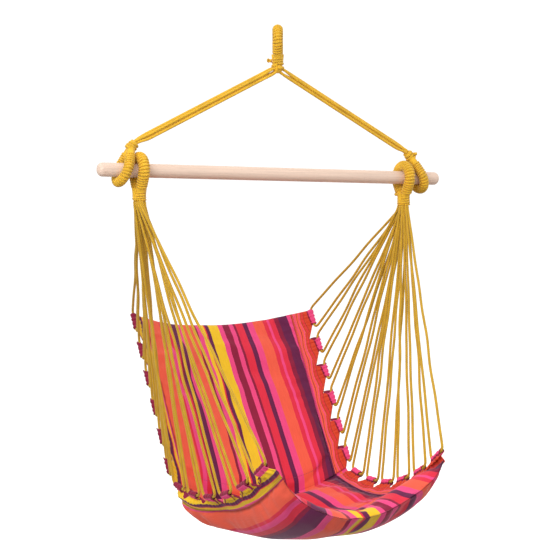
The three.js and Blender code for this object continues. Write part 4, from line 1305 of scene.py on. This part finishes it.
class HAMMOCK_OT_cushions(bpy.types.Operator):
    """Fills the padding of the back and the seat"""

    bl_idname = "hammock.cushions"
    bl_label = "Cushions"

    def execute(self, context):
        sizes = context.scene.hammock_sizes
        for panel, thickness, covers in (
            (BACK, sizes.back_thickness, ("cover_front", "cover_rear")),
            (SEAT, sizes.seat_thickness, ("cover_top", "cover_bottom")),
        ):
            mesh = self.cushion_mesh(panel, thickness)
            nodes = [f"{panel.name}_wadding", *(f"{panel.name}_{cover}" for cover in covers)]
            cushion = finished(f"{panel.name}_cushion", mesh, None, pad_finish(context), nodes)
            self.fill(context, cushion)
            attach(cushion, panel.body)
            subdivided(cushion)
        return {"FINISHED"}

    def cushion_mesh(self, panel, thickness):
        """A crowned closed form: an upper and a lower grid that meet in a seam all round. The seam along the
        front of the seat lies low, so that the front stands as a wall."""
        inner, outer = SEAM_PLACES
        own_across = [[-outer, -inner], 2 * spaced(CUSHION_COLUMNS) - 1, [inner, outer]]
        own_along, own_across = np.meshgrid(spaced(CUSHION_ROWS), np.concatenate(own_across), indexing="ij")
        share = panel.pad_start + (panel.pad_end - panel.pad_start) * own_along
        edge = [-panel.edge_across, -panel.crown_edge, panel.crown_edge, panel.edge_across]
        across = np.interp(own_across, [-outer, -1, 1, outer], edge)
        if not panel.is_back:
            corner = smooth(own_across, *CORNER_REACH_SHARES[0]) * smooth(own_along, *CORNER_REACH_SHARES[1])
            share = share + RIGHT_REACH / panel.length * corner
        metres = share * panel.length
        full, full_below = self.fullness(panel, own_along, own_across)
        rumple = self.rumples(metres, across * panel.line(0.5)[0], 1 - np.abs(own_across)) * full
        if panel.is_back:
            from_quilting = panel.length - metres - QUILT_DISTANCE
            rumple -= QUILT_DEPTH * full * np.exp(-((from_quilting / QUILT_WIDTH) ** 2))
        seam = panel.seam_lift(own_along, own_across, thickness)
        inside = np.pad(np.ones((share.shape[0] - 2, share.shape[1] - 2)), 1)
        grids = []
        for share_full, way in ((full, 1), (full_below, -1)):
            crown = inside * (share_full * thickness / 2 + COVER_LIFT + rumple)
            grids.append(panel.lifted(share, across, seam * (1 - share_full) + way * crown))
        faces = grid_faces(*share.shape)
        faces = np.concatenate([faces, faces[:, ::-1] + share.size])
        mesh = bpy.data.meshes.new(panel.name)
        mesh.from_pydata(np.reshape(grids, (-1, 3)).tolist(), [], faces.tolist())
        stripes = [stripe_share(panel, share, across_on_cloth(panel, grid, share, across)) for grid in grids]
        along = metres if panel.is_back else metres + BACK_LENGTH
        add_weave(mesh, np.ravel(stripes), np.tile(along.ravel(), 2))
        # Painted shade beside the seams, kept on each vertex for the striped material
        seam_shades = np.tile(self.seam_shades(*share.shape).ravel(), 2)
        mesh.attributes.new("groove", "FLOAT", "POINT").data.foreach_set("value", seam_shades)
        shape = bmesh.new()
        shape.from_mesh(mesh)
        bmesh.ops.remove_doubles(shape, verts=shape.verts, dist=MERGE_DISTANCE)
        sharp = shape.edges.layers.float.new("crease_edge")
        for edge in shape.edges:
            edge[sharp] = SEAM_SHARPNESS if edge.calc_face_angle(0) > SEAM_ANGLE else 0
        shape.to_mesh(mesh)
        shape.free()
        return mesh

    def fullness(self, panel, own_along, own_across):
        """How full the upper and the lower side are at each place. The front of the seat is a wedge: a
        leaning wall above the seam, and a flat underside behind it."""
        middle = 2 * own_along - 1
        ends = crown_share(middle, CROWN_POWER)
        if panel.is_back:
            full = np.sqrt(ends * crown_share(own_across, CROWN_POWER))
            return full, full
        front = smooth(own_along, *FRONT_SHARES)
        side_power = CROWN_POWER + (FRONT_POWER - CROWN_POWER) * smooth(own_along, 0.5, 1)
        upper, lower = (
            np.where(middle > 0, crown_share(middle, power), ends) for power in (FRONT_TOP_POWER, FRONT_POWER)
        )
        upper = upper ** (0.5 + FRONT_PRESSED[0] * front) * np.sqrt(crown_share(own_across, side_power))
        lower = lower ** (0.5 + FRONT_PRESSED[1] * front) * np.sqrt(crown_share(own_across, FRONT_POWER))
        return upper, lower

    def seam_shades(self, rows, columns):
        """How much painted shade each vertex gets, beside the ends and inside the side seams."""
        row, column = np.arange(rows), np.arange(columns)
        row, column = np.minimum(row, rows - 1 - row), np.minimum(column, columns - 1 - column)
        ends = np.interp(row, range(len(END_SEAM_SHADES)), END_SEAM_SHADES)
        sides = np.interp(column, range(len(SIDE_SEAM_SHADES)), SIDE_SEAM_SHADES)
        return np.maximum(ends[:, None], sides[None, :])

    def rumples(self, metres, wide, from_side):
        """Broad waves of the filling, and puckers beside the sewn sides."""
        chance = random.Random(SEED + 2)
        height = np.zeros_like(metres)
        for _ in range(RUMPLES):
            angle, length = chance.uniform(0, math.pi), chance.uniform(*RUMPLE_LENGTHS)
            phase = chance.uniform(0, 2 * math.pi)
            place = metres * math.cos(angle) + wide * math.sin(angle)
            height += RUMPLE_HEIGHT * np.sin(2 * math.pi * place / length + phase)
        for length, reach in PUCKERS:
            phase = chance.uniform(0, 2 * math.pi)
            pucker = np.sin(2 * math.pi * metres / length + phase + 2 * np.sin(metres / PUCKER_DRIFT))
            height += reach * pucker * np.exp(-from_side / PUCKER_REACH)
        return height

    def fill(self, context, cushion):
        """Swells the cover with a short cloth simulation, its seam held, and keeps the result."""
        mesh = cushion.data
        shape = bmesh.new()
        shape.from_mesh(mesh)
        bent = [v.index for v in shape.verts if max(e.calc_face_angle(0) for e in v.link_edges) > SEAM_ANGLE]
        shape.free()
        cushion.vertex_groups.new(name="held").add(bent, 1.0, "REPLACE")
        cloth = cushion.modifiers.new("cloth", "CLOTH")
        for name, value in CLOTH_SETTINGS.items():
            setattr(cloth.settings, name, value)
        cloth.settings.effector_weights.gravity = 0
        cloth.collision_settings.use_collision = False
        cloth.point_cache.frame_start, cloth.point_cache.frame_end = 1, FILL_STEPS
        for step in range(1, FILL_STEPS + 1):
            context.scene.frame_set(step)
        before = self.places(mesh)
        swollen = cushion.evaluated_get(context.evaluated_depsgraph_get())
        moved_by = self.places(swollen.data) - before
        length = np.linalg.norm(moved_by, axis=1, keepdims=True)
        moved_by *= np.minimum(1, FILL_REACH / np.maximum(length, FINE * MM))
        cushion.modifiers.remove(cloth)
        context.scene.frame_set(1)
        mesh.vertices.foreach_set("co", (before + moved_by).ravel())
        mesh.update()

    def places(self, mesh):
        places = np.zeros(len(mesh.vertices) * 3)
        mesh.vertices.foreach_get("co", places)
        return places.reshape(-1, 3)


def spaced(count):
    """Shares from 0 to 1 that crowd towards both ends."""
    even = np.linspace(0, 1, count)
    eased = 0.45 * even + 0.55 * (0.5 - 0.5 * np.cos(math.pi * even))
    close = np.array([0.0006, 0.002, 0.0045])
    return np.sort(np.concatenate([eased, close, 1 - close]))


def crown_share(place, power):
    """How full a cushion is at a place from -1 to 1: flat in the middle and steep towards its ends."""
    return np.clip(1 - np.abs(place) ** power, 0, 1)


def from_sides(grid):
    """Length along each row of a grid to the nearer end."""
    along_row = np.linalg.norm(np.diff(grid, axis=1), axis=2).cumsum(1)
    along_row = np.concatenate([np.zeros((len(grid), 1)), along_row], 1)
    return np.minimum(along_row, along_row[:, -1:] - along_row)


def across_on_cloth(panel, grid, share, across):
    """Place across the cloth, which uses up some of its width on the thick sides."""
    extra = (from_sides(grid) - from_sides(panel.point(share, across))) / panel.line(share)[0]
    return across - np.sign(across) * extra * smooth(np.abs(across), 0.3, 0.8)


def stripe_share(panel, share, across):
    """Place across the stripes. The cloth was cut slightly askew, most of all towards the front."""
    drift = (BACK_DRIFT[0] + BACK_DRIFT[1] * across) * smooth(across, -0.85, -0.45)
    # The left margin's stripes run on where the padding begins
    met = (panel.margin_width(share) - MARGIN_WIDTH) / panel.line(share)[0] * smooth(-across, 0.4, 0.8)
    if panel.is_back:
        return across - drift * share + met
    front = np.interp(across, FRONT_PLACES, FRONT_DRIFTS)
    return across - drift * (1 - share) + front * share + met


class Margin:
    """The doubled cloth on one side of a panel: a strip from the padding's seam to the cords, and a sleeve
    round the cord at each tab. Its rows run along the line of tabs, with a column for each station."""

    def __init__(self, panel, side, pleat_depth, chance):
        self.panel, self.side = panel, side
        count = round((panel.end - panel.start) * panel.length / MARGIN_STEP)
        self.stations = np.linspace(panel.start, panel.end, count)
        self.metres = self.stations * panel.length
        self.place, forward, self.outward, self.out = panel.side_frame(self.stations, side)
        self.dip = forward * MOUTH_DIP[panel.name]
        centres = np.array(panel.tab_shares()) * panel.length
        nearest = np.abs(self.metres[:, None] - centres[None, :]).argmin(1)
        self.offset = offset = self.metres - centres[nearest]
        half, gap = TAB_LENGTH / 2, TAB_PITCH - TAB_LENGTH
        past_end = self.metres < centres[0] if panel.is_back else self.metres > centres[-1]
        self.tab = (np.abs(offset) <= half) | past_end
        # Place in the gap between two tabs, 0 to 1. The back's notches are sawtooth, the seat's are V shaped
        between = np.where(offset > 0, (offset - half) / gap, 1 + (offset + half) / gap)
        notch = np.clip(between / SAWTOOTH_SHARE, 0, 1) if panel.is_back else 1 - np.abs(2 * between - 1)
        notch = np.where(self.tab, 0, notch)
        self.root_in = np.where(self.tab, TAB_SLEEVE_ROOT, NOTCH_ROOT[panel.name] + NOTCH_DEPTH * notch)
        # Each sleeve gapes at its upper end on the back, and at its front end on the seat
        from_mouth = half + offset if panel.is_back else half - offset
        self.mouth = np.where(self.tab & ~past_end, np.exp(-from_mouth / MOUTH_LENGTH), 0)
        self.slant = TAB_SLANT[panel.name] * offset / half
        # Gathers: three and a half to a tab, rounded on top and sharp in the valleys, uneven in height
        shift, uneven = ([chance.uniform(*span) for _ in centres] for span in ((0, math.pi), UNEVEN))
        shift, uneven = np.array(shift)[nearest], np.array(uneven)[nearest]
        turn = offset / TAB_LENGTH * math.pi
        wave = 2 * np.abs(np.sin(GATHERS * turn + shift)) ** 0.8 - 1.1
        self.wave = (wave + 0.35 * np.sin(FINE_GATHERS * turn + 3 * shift)) * uneven
        gather = np.clip(1.25 - np.abs(offset) / half * 0.5, 0, 1) * (1 - 0.6 * notch)
        self.height = PLEAT_SHARE[panel.name] * pleat_depth * self.wave * gather

    def strip(self):
        """Rows from the padding to the roots of the tabs, and the code of the stripe at each place."""
        panel, metres = self.panel, self.metres
        edge_step = panel.edge_step(self.stations, self.side)
        inner = panel.edge_across - MARGIN_OVERLAP / panel.line(0.5)[0]
        front = 0 * metres if panel.is_back else smooth(metres, metres[-1] - FRONT_FLARE, metres[-1])
        reach, bulge = (FRONT_REACH + 0.5 * RIGHT_REACH, 0) if self.side > 0 else (FRONT_REACH, LEFT_BULGE)
        scallop = SCALLOP * np.cos(2 * math.pi * self.offset / TAB_PITCH)
        rows, codes = [], []
        for t in np.linspace(0, 1, MARGIN_ROWS):
            arch = math.sin(math.pi * t)
            across = inner + (1 - self.root_in / edge_step - inner) * t
            flare = front * (reach * (1 - t) + bulge * arch**1.2) / panel.length
            lift = t**PLEAT_POWER * self.height - front * arch * FRONT_BOW
            point = panel.point(self.stations + flare, self.side * across)
            rows.append(point + self.out * lift[:, None] + self.dip * (self.mouth * t**6)[:, None])
            codes.append((1 - across) * edge_step - scallop * arch + self.slant * t**3)
        return rows, codes

    def sleeve(self):
        """Rows round the cord and back under the strip, or round a plain hem between two tabs, with the codes
        at the start and at the end of each row of faces."""
        tab, mouth, plump, last = self.tab, self.mouth, 1 + SLEEVE_PLUMP * self.wave, len(SLEEVE_MM) - 1
        top_out, gapes = SLEEVE_MM[SLEEVE_TOP][0], MOUTH_SHARES[self.panel.name]
        rows, starts, ends = [], [], []
        for index, (outward, out) in enumerate(SLEEVE_MM):
            fold = index / last
            swing = plump if outward > -6 else 1 + 0.3 * (plump - 1)
            hem = -self.root_in + HEM_ROUND * math.sin(math.pi * fold) - HEM_SLANT * fold
            outward_now = np.where(tab, outward * MM * swing, hem)
            behind = 0 if out > 0 else min(1, (top_out - outward) / 9)
            lift = behind * (0.9 * self.height * math.exp(min(0, outward + 4) / 22) - MOUTH_SAG * mouth)
            out_now = np.where(tab, out * MM * swing + lift, HEM_HALF * math.cos(math.pi * fold))
            place = self.place + self.outward * outward_now[:, None] + self.out * out_now[:, None]
            rows.append(place + self.dip * (mouth * gapes[min(index, SLEEVE_TOP + 1)])[:, None])
            inner_code = self.slant - outward * MM
            # Painted shade: where a sleeve gapes, its other side takes the dark plum stripe
            outer_code = np.where(mouth > 0.4, MOUTH_SHADE_CODE, OUTER_CODE + (top_out - outward) * MM)
            ends.append(np.where(tab, inner_code if index <= SLEEVE_TOP else outer_code, HEM_CODE))
            starts.append(np.where(tab, inner_code if index < SLEEVE_TOP else outer_code, HEM_CODE))
        return rows, starts, ends

    def mesh(self):
        """The sheet, with the mean width and length of its cloth."""
        strip, codes = self.strip()
        sleeve, starts, ends = self.sleeve()
        grid = np.array(strip + sleeve)
        starts = np.array(codes[:-1] + [np.where(self.tab, codes[-1], HEM_CODE)] + starts[:-1])
        ends = np.array(codes[1:] + ends)
        index = np.arange(grid[..., 0].size).reshape(grid.shape[:2])
        corners = np.stack([index[:-1, :-1], index[:-1, 1:], index[1:, 1:], index[1:, :-1]], -1)
        codes = np.stack([starts[:, :-1], starts[:, 1:], ends[:, 1:], ends[:, :-1]], -1)
        # A sleeve doesn't run on into the hem beside it
        kept = np.ones(corners.shape[:2], bool)
        kept[MARGIN_ROWS - 1 :] = self.tab[:-1] == self.tab[1:]
        faces, codes = corners[kept][:, :: self.side], codes[kept][:, :: self.side]
        mesh = bpy.data.meshes.new("margin")
        mesh.from_pydata(grid.reshape(-1, 3).tolist(), [], faces.tolist())
        low, high = MARGIN_CODES
        uv = np.stack([(codes - low) / (high - low), self.metres[faces % len(self.metres)]], -1)
        uv = np.clip(uv, (0.001, 0), (0.999, 1)).astype(np.float32)
        mesh.uv_layers.new(name="weave").data.foreach_set("uv", uv.ravel())
        wide = np.linalg.norm(np.diff(grid, axis=0), axis=2).sum(0).mean()
        long = np.linalg.norm(np.diff(grid, axis=1), axis=2).sum(1).mean()
        return mesh, (float(wide), float(long))


class HAMMOCK_OT_margins(bpy.types.Operator):
    """Gathers the doubled cloth of each side into its tabs"""

    bl_idname = "hammock.margins"
    bl_label = "Margins and Tabs"

    def execute(self, context):
        sizes, colours = context.scene.hammock_sizes, context.scene.hammock_colours
        low, high = MARGIN_CODES
        chance = random.Random(SEED + 1)
        for side, hand in HANDS:
            name = f"margin_cotton_{hand}"
            material = striped_material(name, MARGIN_STRIPES[hand], low, high, high - low, colours)
            for panel, first in ((BACK, 1), (SEAT, TABS + 1)):
                mesh, flat = Margin(panel, side, sizes.pleat_depth, chance).mesh()
                nodes = [f"{panel.name}_margin_{hand}"]
                piece = finished(f"{panel.name}_side_{hand}", mesh, panel.body, material, nodes)
                thickened(piece, MARGIN_THICKNESS)
        return {"FINISHED"}


class HAMMOCK_OT_crease(bpy.types.Operator):
    """Joins the back to the seat with the strip of cloth between the two cushions"""

    bl_idname = "hammock.crease"
    bl_label = "Crease"

    def execute(self, context):
        across = np.linspace(-CREASE_ACROSS, CREASE_ACROSS, CREASE_COLUMNS)
        rows = []
        for ahead in CREASE_ROWS:
            panel, share = self.station(ahead)
            rows.append(panel.lifted(share, across, -CREASE_SINK if ahead else -FOLD_SINK))
        mesh = bpy.data.meshes.new("crease")
        mesh.from_pydata(np.reshape(rows, (-1, 3)).tolist(), [], grid_faces(len(rows), len(across)).tolist())
        metres = np.repeat(np.array(CREASE_ROWS) + BACK_LENGTH, len(across))
        add_weave(mesh, np.tile(stripe_share(BACK, 1.0, across), len(rows)), metres)
        strip = finished("crease_cloth", mesh, None, pad_finish(context))
        thickened(strip, CREASE_THICKNESS)
        subdivided(strip)
        stations = self.station(-CREASE_BLEND), self.station(CREASE_BLEND)
        start, end = (panel.point(share, 0).tolist() for panel, share in stations)
        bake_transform(strip)
        return {"FINISHED"}

    def station(self, ahead):
        """The panel, and the share of it, at a distance in front of the fold."""
        return (SEAT, ahead / SEAT_DEPTH) if ahead > 0 else (BACK, 1 + ahead / BACK_LENGTH)


class HAMMOCK_OT_stitching(bpy.types.Operator):
    """Sews the seams of the cushions: along their sides, along the seat's front and across the back's foot"""

    bl_idname = "hammock.stitching"
    bl_label = "Stitching"

    def execute(self, context):
        sizes, material = context.scene.hammock_sizes, thread_material(context.scene.hammock_colours.plum)
        across = np.linspace(-STITCHED_ACROSS, STITCHED_ACROSS, SEAM_POINTS)
        for panel in (BACK, SEAT):
            ends = panel.pad_start + STITCHED_INSET, panel.pad_end - STITCHED_INSET
            stations = np.linspace(*ends, SEAM_POINTS)
            middle = (panel.crown_edge + panel.edge_across) / 2
            lines = [
                panel.lifted(stations, side * middle, face * STITCH_LIFT)
                for side in (-1, 1)
                for face in (-1, 1)
            ]
            if panel.is_back:
                share, lift = 1 - QUILT_DISTANCE / panel.length, sizes.back_thickness / 2
            else:
                share = panel.pad_end
                lift = panel.seam_lift(1.0, across / panel.crown_edge, sizes.seat_thickness)
            lines.append(panel.lifted(share, across, lift))
            name, cloth = f"{panel.name}_seam", bpy.data.objects[f"{panel.name}_cushion"].data
            mesh = self.stitches(name, lines, sizes.stitch_pitch, cloth)
            finished(name, mesh, panel.body, material)
        return {"FINISHED"}

    def stitches(self, name, lines, pitch, cloth):
        """Short rounded stitches along lines, each laid on the nearest place of the cloth."""
        surface = BVHTree.FromPolygons([v.co for v in cloth.vertices], [p.vertices for p in cloth.polygons])
        size = Matrix.Diagonal((pitch * STITCH_SHARE, *STITCH_RADII, 1))
        sewn = bmesh.new()
        for line in lines:
            along = distances(line)
            tangents = unit(np.gradient(line, axis=0))
            for distance in np.arange(pitch / 2, along[-1], pitch):
                point, tangent = (
                    np.array([np.interp(distance, along, values[:, k]) for k in range(3)])
                    for values in (line, tangents)
                )
                point, out, _, _ = surface.find_nearest(point)
                across = unit(np.cross(out, tangent))
                ahead = np.cross(across, out)
                turn = Matrix((ahead, across, out)).transposed().to_4x4()
                place = Matrix.Translation(point) @ turn @ size
                bmesh.ops.create_icosphere(sewn, subdivisions=1, radius=1, matrix=place)
        return kept_mesh(name, sewn)


OPERATORS = (
    HAMMOCK_OT_stage,
    HAMMOCK_OT_upper_ropes,
    HAMMOCK_OT_fans,
    HAMMOCK_OT_spreader_bar,
    HAMMOCK_OT_eye,
    HAMMOCK_OT_loops,
    HAMMOCK_OT_cushions,
    HAMMOCK_OT_margins,
    HAMMOCK_OT_crease,
    HAMMOCK_OT_stitching,
)


class HAMMOCK_PT_panel(bpy.types.Panel):
    """Lists the steps and the values of the hammock chair"""

    bl_idname = "HAMMOCK_PT_panel"
    bl_label = "Hammock Chair"
    bl_space_type = "VIEW_3D"
    bl_region_type = "UI"
    bl_category = "Hammock Chair"

    def draw(self, context):
        for operator in OPERATORS:
            self.layout.operator(operator.bl_idname)
        for group in (context.scene.hammock_sizes, context.scene.hammock_colours):
            box = self.layout.box()
            for name in group.__annotations__:
                box.prop(group, name)


CLASSES = (HammockSizes, HammockColours, *OPERATORS, HAMMOCK_PT_panel)


def register():
    for item in CLASSES:
        bpy.utils.register_class(item)
    bpy.types.Scene.hammock_sizes = bpy.props.PointerProperty(type=HammockSizes)
    bpy.types.Scene.hammock_colours = bpy.props.PointerProperty(type=HammockColours)


def unregister():
    del bpy.types.Scene.hammock_colours
    del bpy.types.Scene.hammock_sizes
    for item in reversed(CLASSES):
        bpy.utils.unregister_class(item)


def main():
    register()
    for operator in OPERATORS:
        group, name = operator.bl_idname.split(".")
        getattr(getattr(bpy.ops, group), name)()


if __name__ == "__main__":
    main()
